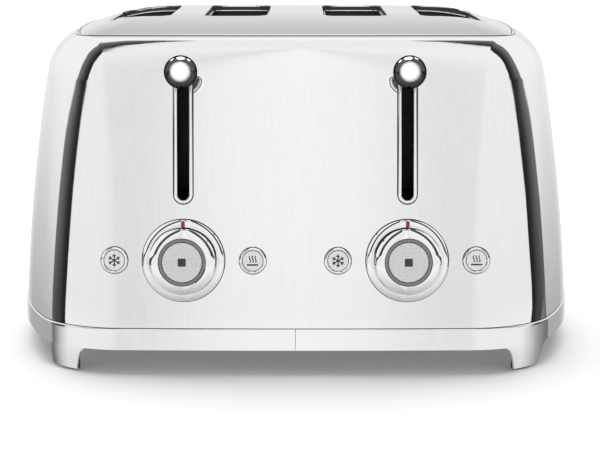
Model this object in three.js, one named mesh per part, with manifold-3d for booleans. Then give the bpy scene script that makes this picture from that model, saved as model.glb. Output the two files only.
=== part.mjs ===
// A four-slice toaster: a polished, barrel-shaped steel body on four cast legs.
// Two lever units stand side by side, each serving two bread slots, with its own
// carriage, return spring, latch magnet, browning dial, buttons and crumb tray.
// Units are millimetres. X runs to the right, Y runs to the back, Z is up, and the
// origin is the middle of the footprint on the surface that the toaster stands on.
import * as THREE from 'three';
import { mergeVertices } from 'three/addons/utils/BufferGeometryUtils.js';
import Module from 'manifold-3d';

const wasm = await Module();
wasm.setup();

// Body outline, seen from above: a long front bow, a round corner, a bulged side
const bodyWidth = 390;
const bodyDepth = 314;
const frontBowRadius = 4000;
const sideBowRadius = 300;
const cornerRadius = 64;
const lidSideBowRadius = 750;
const lidCornerRadius = 14;
const cornerTightening = 8;
const straighteningStart = 6;
const straighteningPower = 1.5;

// Body profile, seen from the side: leaning wall, shoulder, crown
const wallFootInset = 0.8;
const wallLeanDegrees = 2.8;
const wallRadius = 1178;
const shoulderStartHeight = 191.5;
const shoulderRadius = 37;
const creaseTurnDegrees = 68;
const crownRadius = 160;
const sheetThickness = 1;
const beadWidth = 2;
const beadHeight = 0.45;
const beadFlatShares = [0.25, 0.75];

// Base trim and legs
const seamHeight = 31.2;
const seamGap = 0.4;
const bandBottomHeight = 16.7;
const legBottomHeight = 1.2;
const legHalfLength = 12.4;
const legFilletLength = 9;
const legLean = 2.6;
const legAngleDegrees = 47.7;
const trimThickness = 3;
const trimEdgeRound = 0.7;
const splitGap = 0.3;
const footPadDepth = 5;
const footPadSideMargin = 4.6;

// Fits
const seatGap = 0.3;
const runningGap = 0.6;
const cutOverrun = 5;

// Base plate
const basePlateThickness = 2;
const basePlateDrop = 0.5;
const ventLength = 46;
const ventWidth = 4;
const ventPitch = 13;
const ventCount = 4;
const glandRadius = 7;
const glandFlangeRadius = 9.5;
const glandBoreRadius = 3.8;
const glandFlangeHeight = 2;
const glandHeight = 12;
const glandInset = 22;

// Bread slots
const slotWidth = 43;
const slotLength = 128;
const slotCornerRadius = 7;
const slotLipThickness = 1.1;
const slotLipDepth = 10;
const slotPitchInUnit = 66;
const unitPitch = 148.1;
const frontBayDepth = 77;
const chamberMargin = 9;

// Chamber plates
const chamberPlateThickness = 1.2;
const chamberTopDrop = 8;
const chamberSideMargin = 5;
const rackSlotWidth = 5;
const rackSlotMargin = 4;
const rodShelfThickness = 1.2;
const rodShelfHalfWidth = 9;
const rodShelfOverhang = 6;

// Heater boards
const heaterBoardThickness = 1.2;
const heaterBottomHeight = 48.2;
const heaterTopDrop = 25.5;
const heaterClearance = 8.5;
const heaterNotchCount = 4;
const heaterNotchWidth = 3;
const heaterNotchDepth = 2.5;
const heaterLegHeight = 12;
const heaterLegWidth = 9;

// Bread guards
const guardBarSize = 2;
const guardBreadWidth = 35;
const guardBottomHeight = 38.2;
const guardTopDrop = 9.5;
const guardWindowCount = 5;
const guardTieCount = 2;

// Levers, carriages and racks
const leverOffset = 72.7;
const ballRadius = 10.65;
const ballAboveShoulder = 7.8;
const ballClearance = 1;
const ballBoreDepth = 8;
const spigotRadius = 2.5;
const armThickness = 3;
const armHeight = 7;
const armTopRise = 2.5;
const armBallGap = 1.2;
const carriageThickness = 1.5;
const carriageBarHeight = 16;
const carriageBarOverhang = 8;
const carriageStemWidth = 12;
const carriageGap = 8.5;
const rackBelowBall = 71.1;
const rackThickness = 1.6;
const rackSpineWidth = 3;
const rackRibWidth = 2.5;
const rackRibHalfLength = 9;
const rackRibCount = 5;
const rackRibEndMargin = 12;
const rackTailLength = 3;
const rodRadius = 2.5;
const rodSideOffset = 16;
const rodStandoff = 8.5;
const sleeveRadius = 5.4;
const sleeveHeight = 20;
const springRadius = 4.1;
const springWireRadius = 0.6;
const springTurns = 5;

// Latch magnets
const magnetSideOffset = 18;
const magnetWidth = 18;
const magnetDepth = 13;
const magnetBaseHeight = 4;
const magnetPoleWidth = 4;
const magnetCoilRadius = 4.6;
const armatureDrop = 6;
const magnetCoilInset = 3;
const armatureThickness = 1.6;

// Lever slots and their bezels
const leverSlotWidth = 7.5;
const leverSlotAboveDial = 12.4;
const leverSlotFootRoom = 6.1;
const leverSlotHeadRoom = 2.9;
const leverBezelWidth = 12.5;
const leverBezelProud = 1.5;
const leverSleeveWall = 1;
const leverSleeveDepth = 3;

// Dials and stop buttons
const dialHeight = 76.1;
const dialBezelRadius = 26.7;
const dialBezelRise = 4.2;
const dialBezelDish = 2.2;
const dialRadius = 21.4;
const dialFaceRadius = 17.6;
const dialReach = 14;
const dialBrowShares = [[0, 0], [0.13, 0.5], [0.5, 0.87], [1, 1]];
const dialShoulderReach = 8.5;
const dialBackReach = 5;
const dialFlange = 1.2;
const dialFlangeThickness = 3;
const bezelSleeveWall = 1.1;
const bezelSleeveDepth = 6;
const stopSleeveRadius = 15.2;
const stopSleeveWall = 2.1;
const stopSleeveDrop = 0.5;
const stopButtonDrop = 0.2;
const stopButtonDepth = 8;
const stopStemRadius = 5;
const stopButtonCrown = 0.6;
const stopTravel = 2.5;

// Small push buttons
const buttonOffset = 45;
const buttonBezelRadius = 8.65;
const buttonRadius = 6.6;
const buttonBezelRise = 2;
const buttonReach = 1.6;
const buttonDepth = 6;
const buttonStemRadius = 2.6;
const buttonCrown = 0.4;
const buttonTravel = 2;
const buttonSleeveWall = 0.8;
const buttonSleeveDepth = 5;

// Control boards
const boardThickness = 1.6;
const boardStandoff = 15;
const boardHalfWidth = 53;
const boardHalfHeight = 18;
const boardLegWidth = 9;
const switchSize = 6;
const switchHeight = 2.5;

// Crumb trays
const trayWidth = 102;
const trayHeight = 5.6;
const traySheet = 0.8;
const trayFasciaHeight = 8;
const trayFasciaThickness = 1.6;
const trayGripWidth = 42;
const trayGripLength = 9;
const trayGripRound = 6;

// Smoothness of round and curved pieces
const frontSteps = 2;
const cornerSteps = 5;
const sideSteps = 3;
const wallSteps = 4;
const innerWallSteps = 2;
const shoulderSteps = 4;
const crownSteps = 4;
const dialSides = 24;
const buttonSides = 16;
const ballSides = 16;
const ballRings = 8;
const rodSides = 8;
const springStepsPerTurn = 7;
const springSides = 4;
const arcSides = 4;
const legFilletShares = [0.07, 0.24, 0.5, 1];
const legFlatShares = [0, 1];
const legFilletPower = 2.6;
const legLeanPower = 1.3;
const legOutlineEndShare = 0.75;
const trimOuterShares = [0, 0.3, 0.62, 0.94];
const trimInnerShares = [1, 0.5, 0];

// Colours and finishes
const finish = {
  polishedSteel: { color: 0xd9dadb, roughness: 0.16, metalness: 1 },
  chrome: { color: 0xe6e7e8, roughness: 0.07, metalness: 1 },
  galvanised: { color: 0xa9abac, roughness: 0.42, metalness: 0.9 },
  springSteel: { color: 0x8d8f92, roughness: 0.35, metalness: 1 },
  satinGrey: { color: 0xc9c9c9, roughness: 0.45, metalness: 0.1 },
  darkPlastic: { color: 0x2b2b2d, roughness: 0.5, metalness: 0 },
  ringPlastic: { color: 0x6d6e70, roughness: 0.35, metalness: 0 },
  rubber: { color: 0x1c1c1d, roughness: 0.9, metalness: 0 },
  mica: { color: 0xb8a585, roughness: 0.7, metalness: 0 },
  circuitBoard: { color: 0x1f5a38, roughness: 0.55, metalness: 0 },
  coil: { color: 0x9c5a2b, roughness: 0.45, metalness: 0.6 },
};

// Places worked out from the sizes above
const degrees = Math.PI / 180;
const quarterTurn = Math.PI / 2;
const fullTurn = Math.PI * 2;
const halfWidth = bodyWidth / 2;
const halfDepth = bodyDepth / 2;
const wallBottom = seamHeight + seamGap;
const leanAtFoot = wallLeanDegrees * degrees;
const wallRise = (shoulderStartHeight - wallBottom) / wallRadius;
const leanAtShoulder = Math.asin(Math.sin(leanAtFoot) + wallRise);
const creaseTurn = creaseTurnDegrees * degrees;
const shoulderInset = wallFootInset + wallRadius * (Math.cos(leanAtFoot) - Math.cos(leanAtShoulder));
const creaseInset = shoulderInset
  + shoulderRadius * (Math.cos(leanAtShoulder) - Math.cos(creaseTurn));
const creaseHeight = shoulderStartHeight
  + shoulderRadius * (Math.sin(creaseTurn) - Math.sin(leanAtShoulder));
const crestHeight = creaseHeight + crownRadius * (1 - Math.sin(creaseTurn));
const crownEndInset = creaseInset + crownRadius * Math.cos(creaseTurn);

const basePlateBottom = bandBottomHeight + basePlateDrop;
const basePlateTop = basePlateBottom + basePlateThickness;
const floorOfParts = basePlateTop + seatGap;

const unitCentres = [-unitPitch / 2, unitPitch / 2];
const slotCentres = unitCentres.flatMap((x) => [x - slotPitchInUnit / 2, x + slotPitchInUnit / 2]);
const frontPlateBack = -halfDepth + frontBayDepth + chamberPlateThickness;
const frontPlateFront = -halfDepth + frontBayDepth;
const rearPlateFront = frontPlateBack + 2 * chamberMargin + slotLength;
const rearPlateBack = rearPlateFront + chamberPlateThickness;
const slotMiddleY = (frontPlateBack + rearPlateFront) / 2;
const heaterOffset = slotWidth / 2 + heaterClearance;
const chamberHalfWidth = unitPitch / 2 + slotPitchInUnit / 2 + heaterOffset + chamberSideMargin;

const carriageFront = frontPlateFront - carriageGap - carriageThickness;
const carriageBack = frontPlateFront - carriageGap;
const rodY = carriageFront - rodStandoff;
const chamberTopHeight = creaseHeight - chamberTopDrop;
const heaterTopHeight = creaseHeight - heaterTopDrop;
const guardTopHeight = creaseHeight - guardTopDrop;
const ballHeight = shoulderStartHeight + ballAboveShoulder;
const rackHeight = ballHeight - rackBelowBall;
const leverSlotTop = ballHeight + leverSlotHeadRoom;
const leverSlotBottom = dialHeight + dialBezelRadius + leverSlotAboveDial;
const leverTravel = ballHeight - leverSlotBottom - leverSlotFootRoom;
const armTop = ballHeight + armTopRise;
const armBottom = armTop - armHeight;
const sleeveBottom = rackHeight - carriageBarHeight / 2;
const carriageBarTop = rackHeight + rackThickness;
const carriageBarBottom = carriageBarTop - carriageBarHeight;
const armatureBottom = carriageBarTop - armatureDrop;
const magnetTop = armatureBottom - seatGap - leverTravel;

function sharesOf(steps) {
  return Array.from({ length: steps }, (_, index) => index / steps);
}

function between(low, high, share) {
  return low + (high - low) * share;
}

// The three arcs of a quarter of the outline at an inset, and where they meet. On the way
// up to the crease the side straightens and the corner tightens towards the lid's.
function outlineArcs(inset) {
  const climb = (inset - straighteningStart) / (creaseInset - straighteningStart);
  const lidShare = Math.min(Math.max(climb, 0), 1) ** straighteningPower;
  const sideRadius = between(sideBowRadius, lidSideBowRadius, lidShare) - inset;
  const frontRadius = frontBowRadius - inset;
  const radius = Math.max(cornerRadius - cornerTightening * lidShare - inset, lidCornerRadius);
  const side = { x: halfWidth - inset - sideRadius, y: 0, radius: sideRadius };
  const front = { x: 0, y: halfDepth - inset - frontRadius, radius: frontRadius };
  const toFront = frontRadius - radius;
  const toSide = sideRadius - radius;
  const apart = Math.hypot(side.x, front.y);
  const along = (toFront ** 2 - toSide ** 2 + apart ** 2) / (2 * apart);
  const across = Math.sqrt(toFront ** 2 - along ** 2);
  const unit = { x: side.x / apart, y: -front.y / apart };
  const x = along * unit.x + across * unit.y;
  const y = front.y + along * unit.y - across * unit.x;
  return {
    side,
    corner: { x, y, radius },
    front,
    sideAngle: Math.atan2(y, x - side.x),
    frontAngle: Math.atan2(y - front.y, x),
  };
}
const footArcs = outlineArcs(0);

// One loop of outline points, anticlockwise from the right-hand side. Each is a share of
// the side, corner or front arc of a quarter, with the signs of that quarter.
function bodyOutline(cornerShares) {
  const mirrored = (points, signX, signY) => points.map((point) => ({ ...point, signX, signY }));
  const quadrant = mirrored([
    ...sharesOf(sideSteps).map((share) => ({ arc: 'side', share })),
    ...cornerShares.map((share) => ({ arc: 'corner', share })),
    ...[...sharesOf(frontSteps), 1].map((share) => ({ arc: 'front', share })),
  ], 1, 1);
  const inner = quadrant.slice(1, -1);
  const rear = quadrant[quadrant.length - 1];
  return [
    quadrant[0], ...inner, rear,
    ...mirrored([...inner].reverse(), -1, 1), ...mirrored([quadrant[0]], -1, 1),
    ...mirrored(inner, -1, -1), ...mirrored([rear], 1, -1),
    ...mirrored([...inner].reverse(), 1, -1),
  ];
}
const smoothOutline = bodyOutline(sharesOf(cornerSteps));

// Place of an outline point once the outline has moved inwards
function insetPoint(point, inset) {
  const arcs = outlineArcs(inset);
  const ends = {
    side: [0, arcs.sideAngle],
    corner: [arcs.sideAngle, arcs.frontAngle],
    front: [arcs.frontAngle, quarterTurn],
  };
  const { x, y, radius } = arcs[point.arc];
  const angle = between(...ends[point.arc], point.share);
  return [point.signX * (x + radius * Math.cos(angle)), point.signY * (y + radius * Math.sin(angle))];
}

// The arc that the outline follows at a given x, on the front or rear side
function outlineArcAt(x, inset) {
  const { corner, front, frontAngle } = outlineArcs(inset);
  return Math.abs(x) <= front.radius * Math.cos(frontAngle) ? front : corner;
}

// How far back from the middle the outline runs at a given x, on the front or rear side
function outlineDepthAt(x, inset) {
  const arc = outlineArcAt(x, inset);
  return arc.y + Math.sqrt(arc.radius ** 2 - (Math.abs(x) - arc.x) ** 2);
}

// Points of the profile; offset counts inwards from the outer skin
function wallPoint(share, offset) {
  const angle = between(leanAtFoot, leanAtShoulder, share);
  const turnedIn = wallRadius * (Math.cos(leanAtFoot) - Math.cos(angle));
  const turnedUp = wallRadius * (Math.sin(angle) - Math.sin(leanAtFoot));
  return {
    inset: wallFootInset + turnedIn + offset * Math.cos(angle),
    z: wallBottom + turnedUp - offset * Math.sin(angle),
  };
}

function shoulderPoint(share, offset) {
  const angle = between(leanAtShoulder, creaseTurn, share);
  const radius = shoulderRadius - offset;
  const foot = shoulderInset + shoulderRadius * Math.cos(leanAtShoulder);
  return {
    inset: foot - radius * Math.cos(angle),
    z: shoulderStartHeight - shoulderRadius * Math.sin(leanAtShoulder) + radius * Math.sin(angle),
  };
}

function crownPoint(share, offset) {
  const angle = between(creaseTurn, quarterTurn, share);
  const radius = crownRadius - offset;
  return {
    inset: crownEndInset - radius * Math.cos(angle),
    z: crestHeight - crownRadius + radius * Math.sin(angle),
  };
}

// Inset of the outer skin of the wall or shoulder at a height
function skinInset(z) {
  if (z <= shoulderStartHeight) {
    const angle = Math.asin(Math.sin(leanAtFoot) + (z - wallBottom) / wallRadius);
    return wallFootInset + wallRadius * (Math.cos(leanAtFoot) - Math.cos(angle));
  }
  const centreHeight = shoulderStartHeight - shoulderRadius * Math.sin(leanAtShoulder);
  const angle = Math.asin((z - centreHeight) / shoulderRadius);
  return shoulderInset + shoulderRadius * (Math.cos(leanAtShoulder) - Math.cos(angle));
}

// Rings of the outline stacked into a closed skin. A ring is { inset, z } or a function
// of the outline point. An open stack is closed by a flat fan at each end.
function sweptBody(rings, outline, joinEnds) {
  const count = outline.length;
  const positions = [];
  const triangles = [];
  for (const ring of rings) {
    for (const point of outline) {
      const place = typeof ring === 'function' ? ring(point) : ring;
      positions.push(...insetPoint(point, place.inset), place.z);
    }
  }
  const bands = joinEnds ? rings.length : rings.length - 1;
  for (let band = 0; band < bands; band += 1) {
    const lower = band * count;
    const upper = ((band + 1) % rings.length) * count;
    for (let i = 0; i < count; i += 1) {
      const next = (i + 1) % count;
      triangles.push(lower + i, lower + next, upper + next, lower + i, upper + next, upper + i);
    }
  }
  if (!joinEnds) {
    const last = (rings.length - 1) * count;
    const bottom = positions.length / 3;
    positions.push(0, 0, positions[2], 0, 0, positions[last * 3 + 2]);
    for (let i = 0; i < count; i += 1) {
      const next = (i + 1) % count;
      triangles.push(bottom, next, i, bottom + 1, last + i, last + next);
    }
  }
  const geometry = new THREE.BufferGeometry();
  geometry.setAttribute('position', new THREE.Float32BufferAttribute(positions, 3));
  geometry.setIndex(triangles);
  return solidOf(geometry);
}

// A closed three.js geometry with its shared points merged, before it is turned or moved
function welded(geometry) {
  geometry.deleteAttribute('normal');
  geometry.deleteAttribute('uv');
  const merged = mergeVertices(geometry);
  const index = merged.index.array;
  const kept = [];
  for (let i = 0; i < index.length; i += 3) {
    const [a, b, c] = index.slice(i, i + 3);
    if (a !== b && b !== c && a !== c) kept.push(a, b, c);
  }
  return merged.setIndex(kept);
}

// A welded geometry as a solid that can be joined and cut
function solidOf(geometry) {
  return new wasm.Manifold(new wasm.Mesh({
    numProp: 3,
    vertProperties: Float32Array.from(geometry.attributes.position.array),
    triVerts: Uint32Array.from(geometry.index.array),
  }));
}

function geometryOf(solid) {
  const mesh = solid.getMesh();
  const geometry = new THREE.BufferGeometry();
  const places = Float32Array.from(mesh.vertProperties);
  geometry.setAttribute('position', new THREE.BufferAttribute(places, 3));
  geometry.setIndex(new THREE.BufferAttribute(Uint32Array.from(mesh.triVerts), 1));
  geometry.computeVertexNormals();
  return geometry;
}

function joined(...solids) {
  return solids.reduce((whole, piece) => whole.add(piece));
}

function cutBy(solid, ...tools) {
  return tools.reduce((rest, tool) => rest.subtract(tool), solid);
}

function block(low, high) {
  const size = high.map((value, axis) => value - low[axis]);
  const middle = high.map((value, axis) => (value + low[axis]) / 2);
  return solidOf(welded(new THREE.BoxGeometry(...size)).translate(...middle));
}

function extruded(shape, depth) {
  const options = { depth, bevelEnabled: false, curveSegments: arcSides };
  return welded(new THREE.ExtrudeGeometry(shape, options));
}

// A flat shape pushed along Z from one height to another
function prismUp(shape, low, high) {
  return solidOf(extruded(shape, high - low).translate(0, 0, low));
}

// A shape drawn in X and Z, pushed along Y from low to high
function prismBack(shape, low, high) {
  return solidOf(extruded(shape, high - low).rotateX(quarterTurn).translate(0, high, 0));
}

// A shape drawn in Y and Z, pushed along X from low to high
function prismAcross(shape, low, high) {
  const geometry = extruded(shape, high - low);
  return solidOf(geometry.rotateX(quarterTurn).rotateZ(quarterTurn).translate(low, 0, 0));
}

function polygon(points) {
  return new THREE.Shape(points.map(([x, y]) => new THREE.Vector2(x, y)));
}

function rectangle(x0, x1, y0, y1) {
  return polygon([[x0, y0], [x1, y0], [x1, y1], [x0, y1]]);
}

function roundedRectangle(x, y, width, height, radius) {
  const shape = new THREE.Shape();
  const dx = width / 2 - radius;
  const dy = height / 2 - radius;
  shape.absarc(x + dx, y - dy, radius, -quarterTurn, 0);
  shape.absarc(x + dx, y + dy, radius, 0, quarterTurn);
  shape.absarc(x - dx, y + dy, radius, quarterTurn, 2 * quarterTurn);
  shape.absarc(x - dx, y - dy, radius, 2 * quarterTurn, 3 * quarterTurn);
  shape.closePath();
  return shape;
}

// A turned piece about the local Z axis, from closed profile points [radius, height]
function turned(profile, sides) {
  const points = [...profile, profile[0]].map(([radius, height]) => new THREE.Vector2(radius, height));
  return solidOf(welded(new THREE.LatheGeometry(points, sides)).rotateX(quarterTurn));
}

function rod(radius, low, high, sides) {
  return turned([[0, low], [radius, low], [radius, high], [0, high]], sides);
}

// The frame of a control on the front wall: origin on the skin, local Z straight out of it
function controlFrame(x, z) {
  const inset = skinInset(z);
  const lean = Math.asin(Math.sin(leanAtFoot) + (z - wallBottom) / wallRadius);
  const arc = outlineArcAt(x, inset);
  const turn = Math.sign(x) * Math.asin((Math.abs(x) - arc.x) / arc.radius);
  const frame = new THREE.Group();
  frame.position.set(x, -outlineDepthAt(x, inset), z);
  frame.rotation.set(quarterTurn - lean, 0, turn, 'ZXY');
  frame.updateMatrix();
  return frame;
}

function placedBy(frame, solid) {
  return solidOf(geometryOf(solid).applyMatrix4(frame.matrix));
}

const toaster = new THREE.Group();

function part(parent, name, solid, look) {
  const mesh = new THREE.Mesh(geometryOf(solid), new THREE.MeshStandardMaterial(look));
  mesh.name = name;
  parent.add(mesh);
  return mesh;
}

// The whole outer form, filled, moved out from the skin by proud
function filledBody(proud) {
  const rings = [
    ...[...sharesOf(wallSteps), 1].map((share) => wallPoint(share, -proud)),
    ...sharesOf(shoulderSteps).slice(1).map((share) => shoulderPoint(share, -proud)),
    shoulderPoint(1, -proud),
  ];
  return sweptBody(rings, smoothOutline, false);
}

// Upright slot with round ends at a lever, pushed through the front wall
function leverStadium(x, margin) {
  const width = leverSlotWidth + 2 * margin;
  const height = leverSlotTop - leverSlotBottom + 2 * margin;
  const middle = (leverSlotTop + leverSlotBottom) / 2;
  const shape = roundedRectangle(x, middle, width, height, width / 2);
  return prismBack(shape, -halfDepth - cutOverrun, -halfDepth + frontBayDepth - cutOverrun);
}

const leverPlaces = [-leverOffset, leverOffset];
const sideNames = ['left', 'right'];
const buttonPlaces = leverPlaces.map((x) => [
  { kind: 'defrost', x: x - buttonOffset },
  { kind: 'reheat', x: x + buttonOffset },
]);
const bezelSleeveRadius = dialRadius + dialFlange + seatGap + bezelSleeveWall;
const buttonSleeveRadius = buttonRadius + seatGap + buttonSleeveWall;

// Pressed wall of the body, open above and below, with the control openings cut
function bodyShell() {
  const outer = [
    ...sharesOf(wallSteps).map((share) => wallPoint(share, 0)),
    ...[...sharesOf(shoulderSteps), 1].map((share) => shoulderPoint(share, 0)),
  ];
  const inner = [
    ...sharesOf(innerWallSteps).map((share) => wallPoint(share, sheetThickness)),
    ...[...sharesOf(shoulderSteps), 1].map((share) => shoulderPoint(share, sheetThickness)),
  ].reverse();
  const cuts = leverPlaces.map((x) => leverStadium(x, leverSleeveWall + seatGap));
  for (const x of leverPlaces) {
    const hole = rod(bezelSleeveRadius + seatGap, -cutOverrun, cutOverrun, dialSides);
    cuts.push(placedBy(controlFrame(x, dialHeight), hole));
  }
  for (const { x } of buttonPlaces.flat()) {
    const hole = rod(buttonSleeveRadius + seatGap, -cutOverrun, cutOverrun, buttonSides);
    cuts.push(placedBy(controlFrame(x, dialHeight), hole));
  }
  return cutBy(sweptBody([...outer, ...inner], smoothOutline, true), ...cuts);
}
part(toaster, 'body_shell', bodyShell(), finish.polishedSteel);

function slotPrism(x, margin, low) {
  const width = slotWidth + 2 * margin;
  const shape = roundedRectangle(x, slotMiddleY, width, slotLength + 2 * margin, slotCornerRadius + margin);
  return prismUp(shape, low, crestHeight + cutOverrun);
}

// Crowned lid: a bead at its rim, a flange tucked inside the wall, and lipped bread slots
function topCover() {
  const flangeOffset = sheetThickness + seatGap;
  const flangeStart = 1 - 1 / shoulderSteps;
  const crownLength = crownRadius * (quarterTurn - creaseTurn);
  const rimShare = seatGap / crownLength;
  const beadShare = beadWidth / crownLength;
  const underCrown = sharesOf(crownSteps).slice(1).reverse();
  const overCrown = [...sharesOf(crownSteps).slice(1), 1];
  const rings = [
    crownPoint(1, sheetThickness),
    ...underCrown.map((share) => crownPoint(share, sheetThickness)),
    crownPoint(rimShare + beadShare, flangeOffset + sheetThickness),
    shoulderPoint(1, flangeOffset + sheetThickness),
    shoulderPoint(flangeStart, flangeOffset + sheetThickness),
    shoulderPoint(flangeStart, flangeOffset),
    shoulderPoint(1, flangeOffset),
    crownPoint(rimShare, flangeOffset),
    crownPoint(rimShare, 0),
    ...beadFlatShares.map((share) => crownPoint(rimShare + beadShare * share, -beadHeight)),
    crownPoint(rimShare + beadShare, 0),
    ...overCrown.map((share) => crownPoint(share, 0)),
  ];
  const lid = sweptBody(rings, smoothOutline, false);
  const lipBottom = crestHeight - slotLipDepth;
  const underLid = sweptBody([
    { inset: creaseInset + slotLipDepth, z: lipBottom },
    ...overCrown.map((share) => crownPoint(share, 0)),
  ], smoothOutline, false);
  const lips = slotCentres.map((x) => slotPrism(x, slotLipThickness, lipBottom).intersect(underLid));
  const holes = slotCentres.map((x) => slotPrism(x, 0, lipBottom - cutOverrun));
  return cutBy(joined(lid, ...lips), ...holes);
}
part(toaster, 'top_cover', topCover(), finish.polishedSteel);

// Lower edge of the base trim: level between the legs, drawn down to each foot
function trimLowEdge(point) {
  if (point.arc !== 'corner') return bandBottomHeight;
  const angle = between(footArcs.sideAngle, footArcs.frontAngle, point.share);
  const along = Math.abs(angle - legAngleDegrees * degrees) * cornerRadius;
  if (along <= legHalfLength) return legBottomHeight;
  const share = Math.min((along - legHalfLength) / legFilletLength, 1);
  return between(legBottomHeight, bandBottomHeight, 1 - (1 - share) ** legFilletPower);
}

function trimInset(z) {
  const share = Math.max(bandBottomHeight - z, 0) / (bandBottomHeight - legBottomHeight);
  return legLean * share ** legLeanPower;
}

function trimOutline() {
  const offsets = [
    ...legFlatShares.map((share) => legHalfLength * share),
    ...legFilletShares.map((share) => legHalfLength + legFilletLength * share),
  ];
  const angles = offsets.flatMap((along) => {
    const turn = along / cornerRadius;
    return turn === 0 ? [legAngleDegrees * degrees]
      : [legAngleDegrees * degrees - turn, legAngleDegrees * degrees + turn];
  });
  const { sideAngle, frontAngle } = footArcs;
  const ends = [sideAngle, between(legAngleDegrees * degrees, frontAngle, legOutlineEndShare)];
  const sorted = [...angles, ...ends].sort((a, b) => a - b);
  const kept = sorted.filter((angle) => angle >= sideAngle && angle < frontAngle);
  return bodyOutline(kept.map((angle) => (angle - sideAngle) / (frontAngle - sideAngle)));
}

const legOutline = trimOutline();
const trayHalf = trayWidth / 2;
const trayBottom = floorOfParts;
const trimWindowTop = trayBottom + trayFasciaHeight + runningGap;

function baseTrim() {
  const heightAt = (point, share) => between(trimLowEdge(point), seamHeight, share);
  const outerRing = (share) => (point) => {
    const z = heightAt(point, share);
    return { inset: trimInset(z), z };
  };
  const innerRing = (share) => (point) => {
    const z = heightAt(point, share);
    return { inset: trimInset(z) + trimThickness, z };
  };
  const rings = [
    ...trimOuterShares.map(outerRing),
    () => ({ inset: trimEdgeRound, z: seamHeight }),
    ...trimInnerShares.map(innerRing),
  ];
  const split = block(
    [-splitGap / 2, -halfDepth - cutOverrun, -cutOverrun],
    [splitGap / 2, halfDepth + cutOverrun, seamHeight + cutOverrun],
  );
  const windows = unitCentres.map((x) => block(
    [x - trayHalf - runningGap, 0, basePlateTop],
    [x + trayHalf + runningGap, halfDepth + cutOverrun, trimWindowTop],
  ));
  return cutBy(sweptBody(rings, legOutline, true), split, ...windows);
}

const wholeTrim = baseTrim();
sideNames.forEach((side, index) => {
  const low = index === 0 ? -halfWidth - cutOverrun : 0;
  const half = block(
    [low, -halfDepth - cutOverrun, -cutOverrun],
    [low + halfWidth + cutOverrun, halfDepth + cutOverrun, seamHeight + cutOverrun],
  );
  part(toaster, `base_trim_${side}`, wholeTrim.intersect(half), finish.chrome);
});

// Pressed floor of the toaster, vented under each unit, with a hole for the cord gland
function basePlate() {
  const inset = trimThickness + runningGap;
  const rings = [{ inset, z: basePlateBottom }, { inset, z: basePlateTop }];
  const vents = unitCentres.flatMap((x) => sharesOf(ventCount).map((share) => {
    const y = slotMiddleY + ventPitch * (share * ventCount - (ventCount - 1) / 2);
    return block(
      [x - ventLength / 2, y - ventWidth / 2, basePlateBottom - cutOverrun],
      [x + ventLength / 2, y + ventWidth / 2, basePlateTop + cutOverrun],
    );
  }));
  const glandHole = solidOf(geometryOf(rod(
    glandRadius + seatGap,
    basePlateBottom - cutOverrun,
    basePlateTop + cutOverrun,
    buttonSides,
  )).translate(0, halfDepth - glandInset, 0));
  return cutBy(sweptBody(rings, legOutline, false), ...vents, glandHole);
}
part(toaster, 'base_plate', basePlate(), finish.galvanised);

// Flanged bush in the cable hole of the base plate
const glandBottom = basePlateBottom - seatGap - glandFlangeHeight;
const gland = turned([
  [glandBoreRadius, glandBottom],
  [glandFlangeRadius, glandBottom],
  [glandFlangeRadius, glandBottom + glandFlangeHeight],
  [glandRadius, glandBottom + glandFlangeHeight],
  [glandRadius, glandBottom + glandHeight],
  [glandBoreRadius, glandBottom + glandHeight],
], buttonSides);
part(toaster, 'cord_gland', gland, finish.darkPlastic).position.set(0, halfDepth - glandInset, 0);

// Rubber pads tucked into the hollow of each leg, just proud of its lower edge
const padOuter = cornerRadius - trimThickness - legLean - seatGap;
const padHalfTurn = (legHalfLength - footPadSideMargin) / cornerRadius;
function footPad(flipX, flipY) {
  const turn = legAngleDegrees * degrees;
  const middle = Math.atan2(flipY * Math.sin(turn), flipX * Math.cos(turn));
  const x = flipX * footArcs.corner.x;
  const y = flipY * footArcs.corner.y;
  const shape = new THREE.Shape();
  shape.absarc(x, y, padOuter, middle - padHalfTurn, middle + padHalfTurn, false);
  shape.absarc(x, y, padOuter - footPadDepth, middle + padHalfTurn, middle - padHalfTurn, true);
  shape.closePath();
  return prismUp(shape, 0, basePlateBottom - seatGap);
}
part(toaster, 'foot_pad_front_left', footPad(-1, -1), finish.rubber);
part(toaster, 'foot_pad_front_right', footPad(1, -1), finish.rubber);
part(toaster, 'foot_pad_rear_left', footPad(-1, 1), finish.rubber);
part(toaster, 'foot_pad_rear_right', footPad(1, 1), finish.rubber);

// End plates of the toasting chambers, slotted where the bread racks run
const rackBottomAtEnd = rackHeight - leverTravel;
function chamberPlate(low, high, isRear) {
  const shape = rectangle(-chamberHalfWidth, chamberHalfWidth, floorOfParts, chamberTopHeight);
  const rackSlots = slotCentres.map((x) => block(
    [x - rackSlotWidth / 2, low - cutOverrun, rackBottomAtEnd - rackSlotMargin],
    [x + rackSlotWidth / 2, high + cutOverrun, rackHeight + rackThickness + rackSlotMargin],
  ));
  const plate = cutBy(prismBack(shape, low, high), ...rackSlots);
  if (!isRear) return plate;
  const trayGates = unitCentres.map((x) => block(
    [x - trayHalf - runningGap, low - cutOverrun, trayBottom - cutOverrun],
    [x + trayHalf + runningGap, high + cutOverrun, trimWindowTop],
  ));
  return cutBy(plate, ...trayGates);
}

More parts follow.
